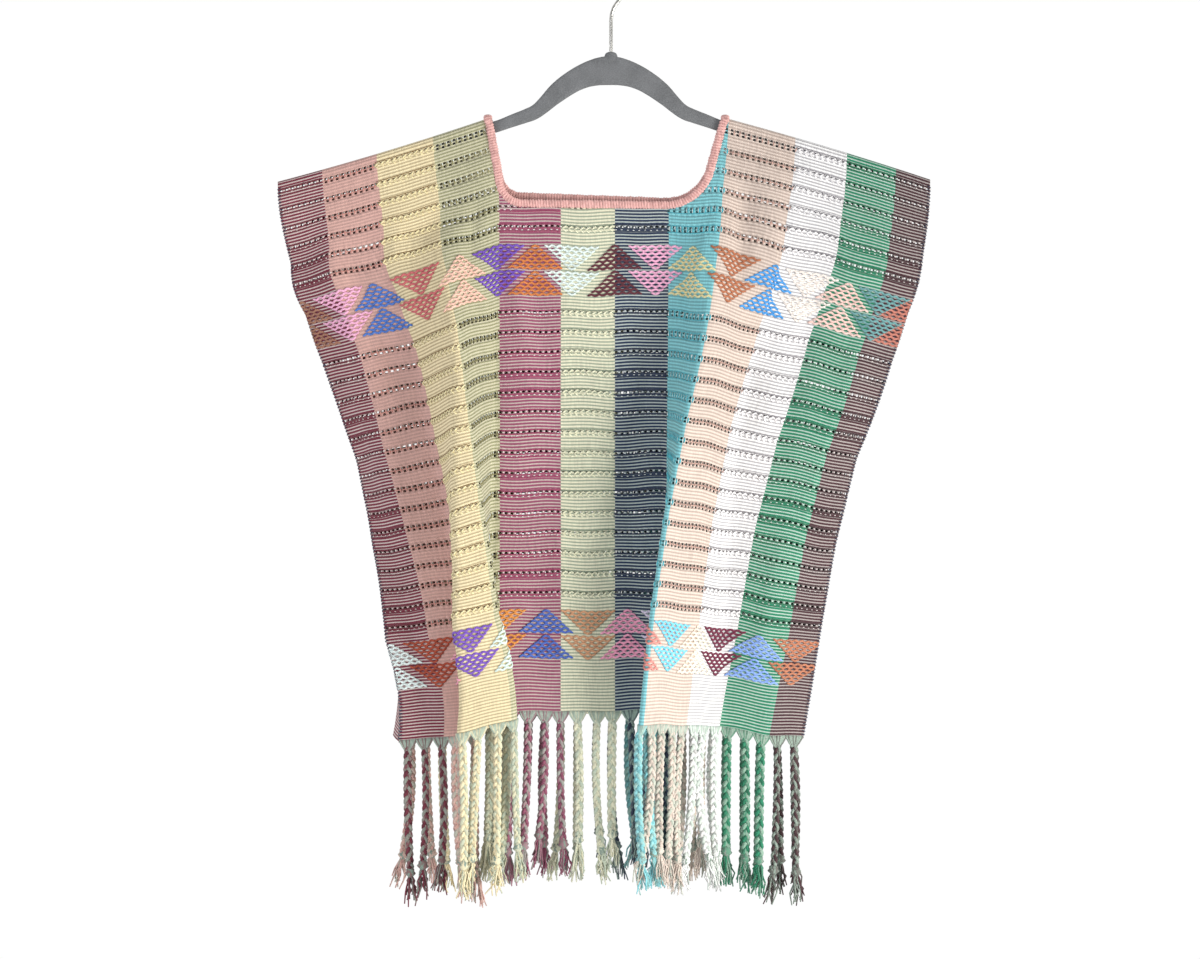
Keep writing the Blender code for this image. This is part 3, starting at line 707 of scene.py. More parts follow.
# %% The two panels
def make_panel(name, side, hole_lines):
    """One panel: grid points on the cloth, faces left out at the neck and at the holes."""
    u, v = grid_columns(), grid_rows(hole_lines)
    uu, vv = np.meshgrid(u, v, indexing="ij")
    points = on_cloth(side, uu, vv).reshape(-1, 3)
    index = np.arange(points.shape[0]).reshape(uu.shape)
    faces = np.stack((index[:-1, :-1], index[1:, :-1], index[1:, 1:], index[:-1, 1:]), axis=-1)
    middle_u, middle_v = 0.5 * (u[1:] + u[:-1]), 0.5 * (v[1:] + v[:-1])

    # A hole's own column of faces is the one in the middle of its repeat
    in_hole = np.abs((middle_u / REPEAT) % 1.0 - 0.5) < 0.1
    keep = np.ones((len(middle_u), len(middle_v)), dtype=bool)
    kinds = np.array([STRIPES[k][3] for k in stripe_of(middle_u)])
    for number, (near, far) in enumerate(zip(hole_lines[0::2], hole_lines[1::2])):
        offset = middle_v[:, None] - OPEN_ROWS[None, :]
        on_row = ((offset > near) & (offset < far)).any(axis=1)
        has = in_hole & np.isin(kinds, [k for k, rows in HOLES_IN.items() if number in rows])
        keep &= ~(has[:, None] & on_row[None, :])

    near_neck = np.flatnonzero((points[:, 2] > NECK_Z[side] - 20.0) & (np.abs(points[:, 0]) < 135.0))
    distance = np.full(len(points), FAR_FROM_NECK)
    way = np.zeros((len(points), 2))
    distance[near_neck], way[near_neck] = neck_distance(points[near_neck], side, CLOTH_UNDER_BINDING)
    keep &= distance[faces].max(axis=-1) > LEAST_MARGIN
    faces = faces[keep].reshape(-1, 4)
    used = np.unique(faces)
    inside = used[distance[used] < 0.0]
    points[inside[:, None], [0, 2]] -= way[inside] * distance[inside, None]

    number = np.full(len(points), -1)
    number[used] = np.arange(len(used))
    uv = np.stack((uu.ravel(), vv.ravel()), axis=1)[used] * MM
    faces = number[faces]
    if side == "back":  # seen from behind, so its faces turn the other way
        faces = faces[:, ::-1]
    item = new_object(name, points[used], faces.tolist(), COTTON, uv=uv)
    wall = item.modifiers.new("wall", "SOLIDIFY")
    wall.thickness = CLOTH_WALL * MM
    wall.offset = 0.0
    return item


# The back has only the holes above each line, which keeps its mesh light
front_web = make_panel("front_web", "front", (-HOLE_FAR, -HOLE_NEAR, HOLE_NEAR, HOLE_FAR))
back_web = make_panel("back_web", "back", (-HOLE_FAR, -HOLE_NEAR))
stand_for(front_web, "web_front", "front")
stand_for(back_web, "web_back", "back")

# %% [markdown]
# ## Yarn
#
# The thick yarn of the brocade and the threads of the openwork, binding and
# fringe are all soft plied cotton. Its colour is stored on the mesh, so one
# material serves every yarn, and a fine noise breaks it up as fibres do.

# %% Plied cotton material
def plied_cotton(name, roughness, sheen):
    """Plied cotton yarn: matt, with short pale fibres that catch the light at its edges."""
    material, tree, shader = new_material(name, roughness, Sheen_Weight=sheen, Sheen_Roughness=0.4)
    dye = add(tree, "ShaderNodeVertexColor", layer_name="yarn_colour")
    other = add(tree, "ShaderNodeVertexColor", layer_name="yarn_fleck")
    place = add(tree, "ShaderNodeTexCoord")
    drawn = add(tree, "ShaderNodeMapping", {"Vector": place.outputs["Object"], "Scale": (1.0, 1.0, 0.3)})
    ply = add(tree, "ShaderNodeTexNoise", {"Vector": drawn.outputs[0], "Scale": 520.0, "Detail": 1.0})
    streak = add(
        tree, "ShaderNodeMapRange",
        {"Value": ply.outputs["Fac"], "From Min": 0.47, "From Max": 0.6},
        interpolation_type="SMOOTHSTEP",
    )
    plied = add(
        tree, "ShaderNodeMix",
        {0: streak.outputs["Result"], 6: dye.outputs["Color"], 7: other.outputs["Color"]},
        data_type="RGBA",
    )
    fibre = add(
        tree, "ShaderNodeTexNoise",
        {"Vector": place.outputs["Object"], "Scale": 1100.0, "Detail": 2.0},
    )
    tone = add(
        tree, "ShaderNodeMath",
        {0: fibre.outputs["Fac"], 1: 0.3, 2: 0.86}, operation="MULTIPLY_ADD",
    )
    toned = add(tree, "ShaderNodeHueSaturation", {"Value": tone.outputs[0], "Color": plied.outputs[2]})
    tree.links.new(toned.outputs["Color"], shader.inputs["Base Color"])
    relief = add(
        tree, "ShaderNodeMath", {0: ply.outputs["Fac"], 1: fibre.outputs["Fac"]}, operation="ADD",
    )
    bump = add(tree, "ShaderNodeBump", {"Strength": 0.5, "Distance": 0.3 * MM, "Height": relief.outputs[0]})
    tree.links.new(bump.outputs["Normal"], shader.inputs["Normal"])
    return material


YARN = plied_cotton("plied_cotton_yarn", 0.8, 0.2)

# %% [markdown]
# ## Openwork threads
#
# Each stripe crosses its threads in its own way: pairs of slanting stitches
# like a herringbone on yellow, pale green and white, two rows of short pale
# stitches between three cords on maroon, magenta, navy, green and plum,
# steep stitches over one thin cord on rose, olive and beige, and upright
# stitches between two cords on turquoise. A stitch is a short spindle and a
# cord a thin tube across its stripe, both of four sides.

# %% Stitches and cords
def spindles(side, start, end, lift, radius, bulge=0.45):
    """Stitches from (u, v) start to end on the cloth: rings whose radius swells in the middle."""
    t = np.array([0.0, 0.5, 1.0])
    places = start[:, None, :] * (1.0 - t[:, None]) + end[:, None, :] * t[:, None]
    rise = lift + 0.35 * np.sin(np.pi * t)
    paths = on_cloth(side, places[..., 0], places[..., 1], rise[None, :])
    up = paths - on_cloth(side, places[..., 0], places[..., 1], 0.0)
    swell = bulge + (1.0 - bulge) * np.sin(np.pi * t)
    radius = np.atleast_1d(radius)[:, None] * swell
    return tubes(paths, unit(up), radius, 0.8 * radius, 4)


def cord_along(side, u, v_line, lift, half):
    """Cords that run across the web, one for each entry of v_line, with a ring at every place u."""
    v = np.broadcast_to(np.asarray(v_line)[:, None], (len(v_line), len(u)))
    across = np.broadcast_to(u, v.shape)
    paths = on_cloth(side, across, v, lift)
    up = unit(paths - on_cloth(side, across, v, 0.0))
    return tubes(paths, up, half, 0.7 * half, 4)


# Stitches of each kind. Columns: from u, from v, to u, to v (u in repeats, v in mm), radius,
# and which thread: 0 main, 1 second
STROKES = {
    "leaves": (
        (0.95, -2.7, 0.22, 0.3, 1.0, 0), (0.22, -0.1, 0.95, 2.8, 0.9, 0), (0.05, -2.9, 0.35, -1.7, 0.45, 1),
    ),
    "lines": ((0.82, -1.6, 1.18, -1.6, 0.7, 1), (0.30, 1.6, 0.62, 1.6, 0.5, 1)),
    "dots": ((0.86, 2.3, 0.98, -2.3, 0.55, 0), (1.08, -2.6, 1.14, -0.4, 0.5, 1)),
    "diamonds": ((0.80, -1.6, 1.16, -1.6, 0.75, 1), (0.15, 1.6, 0.55, 1.6, 0.65, 1)),
    "bars": ((0.98, -2.6, 0.98, 2.6, 0.8, 0), (0.72, -2.4, 0.76, 2.4, 0.5, 1)),
}
# Cords of each kind. Columns: v from the row, half width, which thread
CORDS = {
    "leaves": ((-3.6, 0.35, 1),),
    "lines": ((-3.4, 0.6, 0), (0.2, 0.6, 0), (3.0, 0.5, 0)),
    "dots": ((0.0, 0.42, 0),),
    "diamonds": ((-3.3, 0.6, 0), (0.2, 0.6, 0), (3.1, 0.6, 0)),
    "bars": ((-3.3, 0.45, 0), (3.3, 0.45, 0)),
}
NECK_CLEARANCE = 6.5
STITCH_LIFT = 0.55
CORD_LIFT = 0.5
UNEVENNESS = 0.12


def clear_of_neck(side, u, v):
    """True where a place on the cloth is well outside the neck."""
    points = on_cloth(side, u, v)
    clear = np.ones(len(points), dtype=bool)
    near = np.flatnonzero((points[:, 2] > NECK_Z[side] - 30.0) & (np.abs(points[:, 0]) < 140.0))
    clear[near] = neck_distance(points[near], side, 0.0)[0] > NECK_CLEARANCE
    return clear


def make_openwork(name, side):
    """Every stitch and cord of one panel's openwork, in one mesh; cords that meet the neck are left out."""
    bundle = Bundle()
    uu, vv = (grid.ravel() for grid in np.meshgrid(REPEAT_U, OPEN_ROWS, indexing="ij"))
    uneven = np.random.default_rng(11).normal(0.0, UNEVENNESS, (len(uu), 2))
    clear = clear_of_neck(side, uu, vv)
    stripe = stripe_of(uu)
    kind_of = np.array([s[3] for s in STRIPES])[stripe]
    threads = np.array([[linear(s[4]), linear(s[5])] for s in STRIPES])
    for kind, strokes in STROKES.items():
        here = np.flatnonzero(clear & (kind_of == kind))
        base = np.stack((uu[here] - 0.5 * REPEAT, vv[here]), axis=1) + uneven[here]
        for u0, v0, u1, v1, radius, thread in strokes:
            start = base + np.array([u0 * REPEAT, v0])
            end = base + np.array([u1 * REPEAT, v1])
            verts, faces = spindles(side, start, end, STITCH_LIFT, np.full(len(here), radius))
            bundle.add(verts, faces, threads[stripe[here], thread])
    starts = np.concatenate(((0.0,), STRIPE_ENDS[:-1]))
    for number, (start, end, entry) in enumerate(zip(starts, STRIPE_ENDS, STRIPES)):
        u = np.linspace(start, end, int((end - start) / REPEAT) + 2)
        for offset, half, thread in CORDS[entry[3]]:
            lines = OPEN_ROWS + offset
            spans = [clear_of_neck(side, u, np.full(len(u), line)).all() for line in lines]
            verts, faces = cord_along(side, u, lines[spans], CORD_LIFT, half)
            bundle.add(verts, faces, threads[number, thread])
    return bundle.make(name, YARN)


openwork_front = make_openwork("openwork_front", "front")
openwork_back = make_openwork("openwork_back", "back")
stand_for(openwork_front, "web_front")
stand_for(openwork_back, "web_back")

# %% [markdown]
# ## The brocade bands
#
# The triangles are laid in with a thick extra yarn while the web is woven.
# It floats over the warps in waves: neighbouring yarns meet and part by
# turns, and the ground shows in the gaps as rows of dots set like bricks.
# Two rows of triangles are stacked in each band, pointing down and up by
# turns. Their colours are drawn afresh in the same range.

# %% Triangles of the bands
UPPER_BAND = (120.3, 168.5)
LOWER_BAND = (458.5, 504.5)
# Columns: middle across the web (mm), colour. The first points up, and they go by turns
UPPER_MOTIFS = (
    (3.0, "#a5745f"), (42.0, "#f2b4d4"), (77.0, "#5079cb"), (120.5, "#cc6b6f"), (166.0, "#f6c9b6"),
    (205.5, "#7650bb"), (241.0, "#cf7a40"), (275.0, "#e3f2ee"), (315.0, "#5f2734"), (353.0, "#f2b3d4"),
    (390.5, "#e0d8a6"), (434.0, "#b5714f"), (474.5, "#4799de"), (513.0, "#f4ebe4"), (548.5, "#f1cfc6"),
    (583.0, "#6a9c9e"), (609.0, "#bf7869"),
)
LOWER_MOTIFS = (
    (3.0, "#e6f3f1"), (41.0, "#a8472f"), (82.0, "#f0a9be"), (122.0, "#7c56bb"), (165.0, "#dcefe8"),
    (207.0, "#dd9147"), (251.0, "#4c68bd"), (290.0, "#cf9c78"), (327.0, "#eda0be"), (365.0, "#d9cfe6"),
    (402.0, "#dd9189"), (441.0, "#7ed2f2"), (480.0, "#f3ead9"), (513.0, "#6f2340"), (551.0, "#86a9ea"),
    (589.0, "#b97759"),
)
YARNS_PER_TRIANGLE = 7
NET_PITCH = 7.1
NET_WAVE = 0.78
YARN_HALF = 1.18
YARN_STEP = 1.6
YARN_LIFT = 0.95
EDGE_MARGIN = 1.6


def triangle_yarn(motifs, band, row, number):
    """One yarn of every triangle in a row of the band, counted from the triangle's point.

    Half its length is half a pitch longer than the one before, and its wave is
    v = line + wave cos(2 pi u / pitch + pi number), so it ends where it meets the next yarn.
    """
    height = 0.5 * (band[1] - band[0])
    groups = []
    for points_up in (True, False):
        chosen = [m for k, m in enumerate(motifs) if (k % 2 == 0) == points_up]
        half = 0.5 * NET_PITCH * number
        middle = np.array([m[0] for m in chosen])[:, None]
        across = np.linspace(-half, half, max(5, int(2.0 * half / YARN_STEP)))
        phase = 2.0 * np.pi * across / NET_PITCH + np.pi * number
        below = (number - 0.5) / YARNS_PER_TRIANGLE * (height - 1.0) + NET_WAVE * np.cos(phase)
        below = below if points_up else height - 1.0 - below
        v = band[0] + row * height + 0.5 + below
        lift = YARN_LIFT + 0.25 * np.cos(2.0 * phase)
        groups.append((middle + across, v, lift, [linear(m[1]) for m in chosen]))
    return groups


def make_band(name, side, motifs, band):
    """Both rows of triangles of one band, with the yarns cut off at the web's edges."""
    bundle = Bundle()
    for row in (0, 1):
        for number in range(1, YARNS_PER_TRIANGLE + 1):
            for u, v, lift, colours in triangle_yarn(motifs, band, row, number):
                u = np.clip(u, EDGE_MARGIN, WEB_WIDTH - EDGE_MARGIN)
                # A yarn wholly past the edge keeps a little length, so its tube has a direction
                u = u + np.linspace(-0.4, 0.4, u.shape[1])
                paths = on_cloth(side, u, v, lift)
                up = unit(paths - on_cloth(side, u, v, 0.0))
                end = np.minimum(np.arange(u.shape[1]), np.arange(u.shape[1])[::-1])
                half = YARN_HALF * np.where(end == 0, 0.6, 1.0)
                bundle.add(*tubes(paths, up, half, 0.62 * half, 5), colours)
    return bundle.make(name, YARN)


bands = {"front": [], "back": []}
for side, pair in bands.items():
    for place, motifs, band in (("upper", UPPER_MOTIFS, UPPER_BAND), ("lower", LOWER_MOTIFS, LOWER_BAND)):
        pair.append(make_band(f"brocade_{side}_{place}", side, motifs, band))
    for piece in pair:
        stand_for(piece, "web_" + side)

# %% [markdown]
# ## The neck binding
#
# The cut neck is covered by pink threads wound round and round its edge, so
# close that they make a roll. The roll is a tube along the neck whose section
# swells once for each turn of the thread, and the swelling leans with it.

# %% The binding's path
BINDING_HALF_WIDTH = 3.75
BINDING_HALF_DEPTH = 2.1
BINDING_RADIUS = 5.5
WHIP_PITCH = 2.6
RINGS_PER_TURN = 4
BINDING_SIDES = 16
WRAP_Z = SHOULDER_Z - FOLD_RADIUS


def depth_at(side, places):
    """Depth of a panel at places in front view: mean of the map near it, weighted by a bell."""
    points = PANEL[side][0].reshape(-1, 3)
    points = points[(points[:, 2] > NECK_Z[side] - 20.0) & (np.abs(points[:, 0]) < 140.0)]
    apart = ((places[:, None] - points[None][:, :, [0, 2]]) ** 2).sum(axis=2)
    weight = np.exp(-(apart - apart.min(axis=1, keepdims=True)) / 8.0)
    return (weight * points[:, 1]).sum(axis=1) / weight.sum(axis=1)


def neck_path():
    """Closed middle line of the binding: front neck, right shoulder, back neck, left shoulder."""
    front = spaced(neck_line("front", WRAP_Z, 0.0), 2.0)
    back = spaced(neck_line("back", WRAP_Z, 0.0), 2.0)[::-1]
    front_y = np.minimum(depth_at("front", front) - 0.3, -BINDING_RADIUS)
    back_y = np.maximum(depth_at("back", back) + 0.3, BINDING_RADIUS)
    angle = np.radians(np.linspace(0.0, 180.0, 13)[1:-1])
    y, z = -BINDING_RADIUS * np.cos(angle), WRAP_Z + BINDING_RADIUS * np.sin(angle)
    right = np.stack((np.full(len(angle), NECK_RIGHT_TOP + 0.6), y, z), axis=1)
    left = np.stack((np.full(len(angle), NECK_LEFT_TOP - 0.6), -y, z), axis=1)
    path = np.concatenate((
        np.stack((front[:, 0], front_y, front[:, 1]), axis=1), right,
        np.stack((back[:, 0], back_y, back[:, 1]), axis=1), left,
    ))
    closed = np.concatenate((path, path[:1]))
    fine = spaced(closed, WHIP_PITCH / RINGS_PER_TURN)[:-1]
    bell = np.exp(-(np.arange(-6, 7) / 3.0) ** 2)
    bell = bell / bell.sum()
    padded = np.concatenate((fine[-6:], fine, fine[:6]))
    return np.stack([np.convolve(padded[:, k], bell, "valid") for k in range(3)], axis=1)


# %% The binding
def make_binding():
    """Roll: oval section times 1 + swell x |sin(pi s / pitch + lean x angle)|, along the neck, with painted
    shade in the grooves between turns.
    """
    path = neck_path()
    count, sides = len(path), BINDING_SIDES
    along = unit(np.roll(path, -1, axis=0) - np.roll(path, 1, axis=0))
    rise = np.maximum(path[:, 2] - WRAP_Z, 0.0)
    outward = unit(np.stack((np.zeros(count), path[:, 1], rise), axis=1))
    across = unit(np.cross(along, outward))
    outward = np.cross(across, along)
    angle = np.linspace(0.0, 2.0 * np.pi, sides, endpoint=False)
    s = np.arange(count)[:, None] * np.pi / RINGS_PER_TURN
    thread = np.abs(np.sin(s + 0.5 * angle[None, :])) ** 0.7
    turns = np.random.default_rng(5).normal(0.0, 1.0, count // RINGS_PER_TURN + 2)
    slack = np.interp(np.arange(count) / RINGS_PER_TURN, np.arange(len(turns)), turns)[:, None]
    swell = 0.84 + 0.22 * thread + 0.05 * slack
    a = BINDING_HALF_WIDTH * np.sign(np.cos(angle)) * np.abs(np.cos(angle)) ** 0.85
    b = BINDING_HALF_DEPTH * np.sin(angle)
    verts = path[:, None] + (swell * a)[..., None] * across[:, None]
    verts = verts + (swell * b)[..., None] * outward[:, None]
    index = np.arange(count * sides).reshape(count, sides)
    after, beside = np.roll(index, -1, axis=0), np.roll(index, -1, axis=1)
    corner = np.roll(after, -1, axis=1)
    faces = np.stack((index, after, corner, beside), axis=-1).reshape(-1, 4)
    # Painted shade: the colour is the pale thread at each turn's crest and darkens towards the shade colour
    # in the grooves between turns
    base, shade = np.array(linear("#ebb9b3")), np.array(linear("#a0615f"))
    mix = (0.15 + 0.85 * thread)[..., None] * (1.0 + 0.07 * slack[..., None])
    colours = np.clip(base * mix + shade * (1.0 - mix), 0.0, 1.0).reshape(-1, 4)
    return new_object(
        "neck_binding_whipped", verts.reshape(-1, 3), faces.tolist(), YARN, colours, colours * PLY_SHADE,
    )


stand_for(make_binding(), "binding_thread", "neck_binding")

# %% [markdown]
# ## The sides
#
# Above the armhole's end each panel's edge is overcast on its own. Below it
# one thread goes over both edges and joins them. Both are dark blue, slanted
# stitches, each a short bent tube.

# %% Overcast sides
STITCH_PITCH = 3.4
ARMHOLE_END = ARMHOLE_ENDS_AT * PANEL_LENGTH


def edge_points(side, left, inward, v, lift):
    """Points near an edge: inward millimetres in from it, moved out by lift."""
    u = inward if left else WEB_WIDTH - inward
    return on_cloth(side, u, v, lift)


def make_overcast():
    """Stitches over both sides' edges: single above the armhole's end, joining below it."""
    bundle = Bundle()
    thread = linear("#26314e")
    over = np.array((2.4, 0.8, -0.5, 0.8, 2.4))
    lifts = np.array((0.75, 0.95, 0.0, -0.95, -0.75))
    slant = np.linspace(0.0, 1.7, 5)
    for left in (True, False):
        v = np.arange(9.0, ARMHOLE_END, STITCH_PITCH)[:, None] + slant
        for side in ("front", "back"):
            paths = edge_points(side, left, over, v, lifts)
            bundle.add(*tubes(paths, UP, 0.42, 0.42, 5), thread)
        v = np.arange(ARMHOLE_END, PANEL_LENGTH - 4.0, STITCH_PITCH)[:, None] + slant[:3]
        first = edge_points("front", left, np.array((2.6, 0.7, -0.6)), v, np.array((0.75, 0.95, 0.3)))
        second = edge_points("back", left, np.array((-0.6, 0.7, 2.6)), v + 1.0, np.array((0.3, 0.95, 0.75)))
        paths = np.concatenate((first, second), axis=1)
        bundle.add(*tubes(paths, UP, 0.45, 0.45, 5), thread)
    return bundle.make("sides_overcast", YARN)


side_thread = stand_for(make_overcast(), "web_front")

# %% [markdown]
# ## The braided fringe
#
# At the hem the warp ends are gathered in small bunches, each braided in
# three strands, knotted and left as a tassel. A strand of a flat braid
# swings from side to side once while it dips behind twice: x = sin t and
# y = sin 2t, the three strands a third of a turn apart. The colours follow
# the stripe above, plied with the sage weft. The back's braids hang behind
# the front's, as the two layers cling together, and are fewer, so that the
# gaps between braids stay open from the front.

# %% Where the braids hang
BRAIDS = 38
BRAID_LENGTHS = (107.0, 123.0)
BRAID_PERIOD = 18.5
BRAID_RINGS = 60
LEAST_APART = 8.5
SWAY = 3.4
BOW = 1.7
STRAND_RADIUS = 1.95
STRAND_SWING = 2.3
STRAND_DIP = 1.1
GATHER = 9.0
GATHER_THREADS = 11
KNOT_LENGTH = 9.0
KNOT_SIDES = 8
TASSEL_THREADS = 18
TASSEL_LENGTHS = (16.0, 30.0)
SAGE = np.array(linear("#a0b5a8"))


def front_places(rng):
    """Even places across the hem, each moved a little."""
    return (np.arange(BRAIDS) + 0.5) * WEB_WIDTH / BRAIDS + rng.uniform(-1.6, 1.6, BRAIDS)


def back_places(front_u):
    """Places on the back hem that lie behind the front's braids, at least one braid's width apart."""
    seen = np.sort(on_cloth("front", front_u, PANEL_LENGTH)[:, 0])
    chosen = [seen[0]]
    for x in seen[1:]:
        if x - chosen[-1] > LEAST_APART:
            chosen.append(x)
    x_back = np.maximum.accumulate(PANEL["back"][0][:, -1, 0])
    return np.interp(chosen, x_back, U_MAP)


def braid_lines(side, u, rng):
    """Top, width's direction, length, sway and bow of each braid.

    The width runs between the hem's direction and straight across.
    """
    top = on_cloth(side, u, PANEL_LENGTH)
    beside = on_cloth(side, u + 2.0, PANEL_LENGTH) - on_cloth(side, u - 2.0, PANEL_LENGTH)
    tangent = unit(beside * np.array([1.0, 1.0, 0.0]))
    face = np.sign(tangent[:, :1]) * tangent * 0.55 + np.array([[1.0, 0.0, 0.0]])
    count = len(u)
    length = rng.uniform(*BRAID_LENGTHS, count)
    sway = rng.normal(0.0, SWAY, (count, 2)) * np.array([1.0, 0.6])
    bow = rng.normal(0.0, BOW, (count, 2))
    return top, unit(face), length, sway, bow


def hang(line, down):
    """Point of a braid's middle line: straight down, swayed as t squared, bowed as sin(pi t)."""
    top, length, sway, bow = line
    t = np.clip(down / length[:, None], 0.0, 1.4)
    x = top[:, :1] + sway[:, :1] * t ** 2 + bow[:, :1] * np.sin(np.pi * t)
    y = top[:, 1:2] + sway[:, 1:] * t ** 2 + bow[:, 1:] * np.sin(np.pi * t)
    return np.stack((x, y, top[:, 2:] - down), axis=2)


# %% The parts of a fringe
def add_strands(bundle, rng, line, face, out, warp):
    """Three strands of every braid, thin at the gather and even below, slowly turning."""
    length = line[1][:, None]
    count = len(length)
    start = GATHER - 5.0
    down = start + (length - start) * np.linspace(0.0, 1.0, BRAID_RINGS)
    middle = hang(line, down)
    twist = rng.normal(0.0, 0.45, (count, 1)) * down / length
    across = face[:, None] * np.cos(twist)[..., None] + out[:, None] * np.sin(twist)[..., None]
    through = np.cross(across, UP)
    narrow = smooth((down - start) / 6.0) * 0.45 + 0.55
    size = rng.uniform(0.85, 1.12, (count, 1)) * narrow
    period = BRAID_PERIOD * rng.uniform(0.9, 1.12, (count, 1))
    # Each strand has its own share of the sage weft
    for strand, share in enumerate((0.02, 0.12, 0.55)):
        t = 2.0 * np.pi * (down / period + strand / 3.0)
        swing, dip = STRAND_SWING * np.sin(t) * size, STRAND_DIP * np.sin(2.0 * t) * size
        paths = middle + swing[..., None] * across + dip[..., None] * through
        radius = STRAND_RADIUS * size
        tint = (warp * (1.0 - share) + SAGE * share) * rng.uniform(0.85, 1.08, (count, 1))
        other = 0.4 * SAGE + 0.6 * tint if strand else 0.6 * tint
        bundle.add(*tubes(paths, through, radius, 0.85 * radius, 5), tint, other)


def add_knots(bundle, rng, line, out, warp):
    """Knots: a swollen turn of the strands, with slanting grooves between them."""
    count = len(warp)
    t = np.linspace(0.0, 1.0, 8)
    paths = hang(line, line[1][:, None] - 1.0 + KNOT_LENGTH * t)
    plump = 1.5 + 2.8 * np.sin(np.pi * np.clip(t, 0.02, 0.98)) ** 0.6
    wide = plump * rng.uniform(0.9, 1.2, (count, 1))
    verts, faces = tubes(paths, out[:, None], wide, 0.85 * wide, KNOT_SIDES)
    point = np.arange(len(verts)) % (len(t) * KNOT_SIDES)
    groove = 1.0 + 0.16 * np.sin(2.0 * np.pi * ((point % KNOT_SIDES) / 4.0 + (point // KNOT_SIDES) / 3.5))
    centre = np.repeat(paths.reshape(-1, 3), KNOT_SIDES, axis=0)
    tint = warp * 0.75 + SAGE * 0.25
    bundle.add(centre + (verts - centre) * groove[:, None], faces, tint, 0.6 * SAGE)


def add_tassels(bundle, rng, line, face, out, warp):
    """Threads fanned out below each knot, curling a little."""
    length = line[1][:, None]
    count = len(length)
    t = np.linspace(0.0, 1.0, 6)
    for _thread in range(TASSEL_THREADS):
        down = length + 6.5 + rng.uniform(*TASSEL_LENGTHS, (count, 1)) * t
        angle = rng.uniform(0.0, 2.0 * np.pi, (count, 1))
        spread = rng.uniform(1.0, 6.5, (count, 1)) * t ** 0.8 + 1.3
        curl = rng.normal(0.0, 1.2, (count, 1)) * np.sin(2.5 * np.pi * t)
        side_way = (np.cos(angle) * spread + curl)[..., None] * face[:, None]
        depth_way = (0.6 * np.sin(angle) * spread)[..., None] * out[:, None]
        paths = hang(line, down) + side_way + depth_way
        thick = 0.95 * (1.0 - 0.4 * t)
        share = rng.choice((0.0, 0.15, 0.6), (count, 1))
        bundle.add(*tubes(paths, out[:, None], thick, thick, 4), warp * (1.0 - share) + SAGE * share)


def add_gathers(bundle, rng, side, u, line, warp):
    """Threads drawn together from the hem to the top of each braid, mostly sage."""
    count = len(u)
    t = np.linspace(0.0, 1.0, 5)
    half = 0.5 * WEB_WIDTH / BRAIDS
    end = hang(line, np.full((count, 1), GATHER + 1.0))[:, 0]
    for place in np.linspace(-0.98, 0.98, GATHER_THREADS):
        start_u = np.clip(u + place * half, 0.5, WEB_WIDTH - 0.5)
        start = on_cloth(side, start_u, PANEL_LENGTH - 2.5, 0.6)
        ease = (smooth(t) * 0.5 + t * 0.5)[:, None]
        paths = start[:, None] * (1.0 - ease) + end[:, None] * ease
        paths[:, :, 0] += 0.9 * place * np.sin(np.pi * t)
        share = 0.85 if rng.uniform() < 0.75 else 0.35
        bundle.add(*tubes(paths, -BACKWARD, 1.1, 0.85, 4), warp * (1.0 - share) + SAGE * share)


# %% The two fringes
def make_fringe(name, side, u, rng):
    """Gathers, braids, knots and tassels of one panel's hem, in one mesh."""
    top, face, length, sway, bow = braid_lines(side, u, rng)
    line = (top, length, sway, bow)
    out = unit(np.cross(face, np.array([0.0, 0.0, 1.0])))
    warp = np.array([linear(STRIPES[k][1]) for k in stripe_of(u)])
    bundle = Bundle()
    add_strands(bundle, rng, line, face, out, warp)
    add_knots(bundle, rng, line, out, warp)
    add_tassels(bundle, rng, line, face, out, warp)
    add_gathers(bundle, rng, side, u, line, warp)
    return bundle.make(name, YARN)


fringe_rng = np.random.default_rng(21)
front_u = front_places(fringe_rng)
braids_front = make_fringe("braids_front", "front", front_u, fringe_rng)
braids_back = make_fringe("braids_back", "back", back_places(front_u), fringe_rng)
stand_for(braids_front, "braids_front", "fringe_front")
stand_for(braids_back, "braids_back", "fringe_back")

# %% [markdown]
# ## The hanger
#
# A slim hanger of moulded plastic covered with flock, which is short rayon
# fibre shot into glue. It drinks light, so it looks like felt: no gloss, and
# a pale rim where the fibres stand against the light. Its hook is bright
# plated wire.

# %% Hanger body
# Columns: distance from the middle, top, bottom (mm)
HANGER_OUTLINE = (
    (0.0, -105.0, -132.1), (7.0, -105.6, -132.3), (14.0, -107.6, -133.2),
    (22.0, -110.6, -135.0), (31.6, -115.3, -139.2), (42.0, -121.8, -146.0),
    (51.2, -129.3, -153.3), (61.4, -141.4, -161.2), (68.8, -150.0, -165.0),
    (78.0, -154.4, -167.6), (90.0, -159.0, -171.4), (102.0, -164.2, -175.4),
    (112.0, -167.2, -178.2),
)
HANGER_MIDDLE = -1.5
ARM_SLOPE_LEFT = 0.3
ARM_SLOPE_RIGHT = 0.28
HANGER_HALF_LENGTH = 226.0
HANGER_HALF_DEPTH = 2.75
END_ROUNDING = 6.0


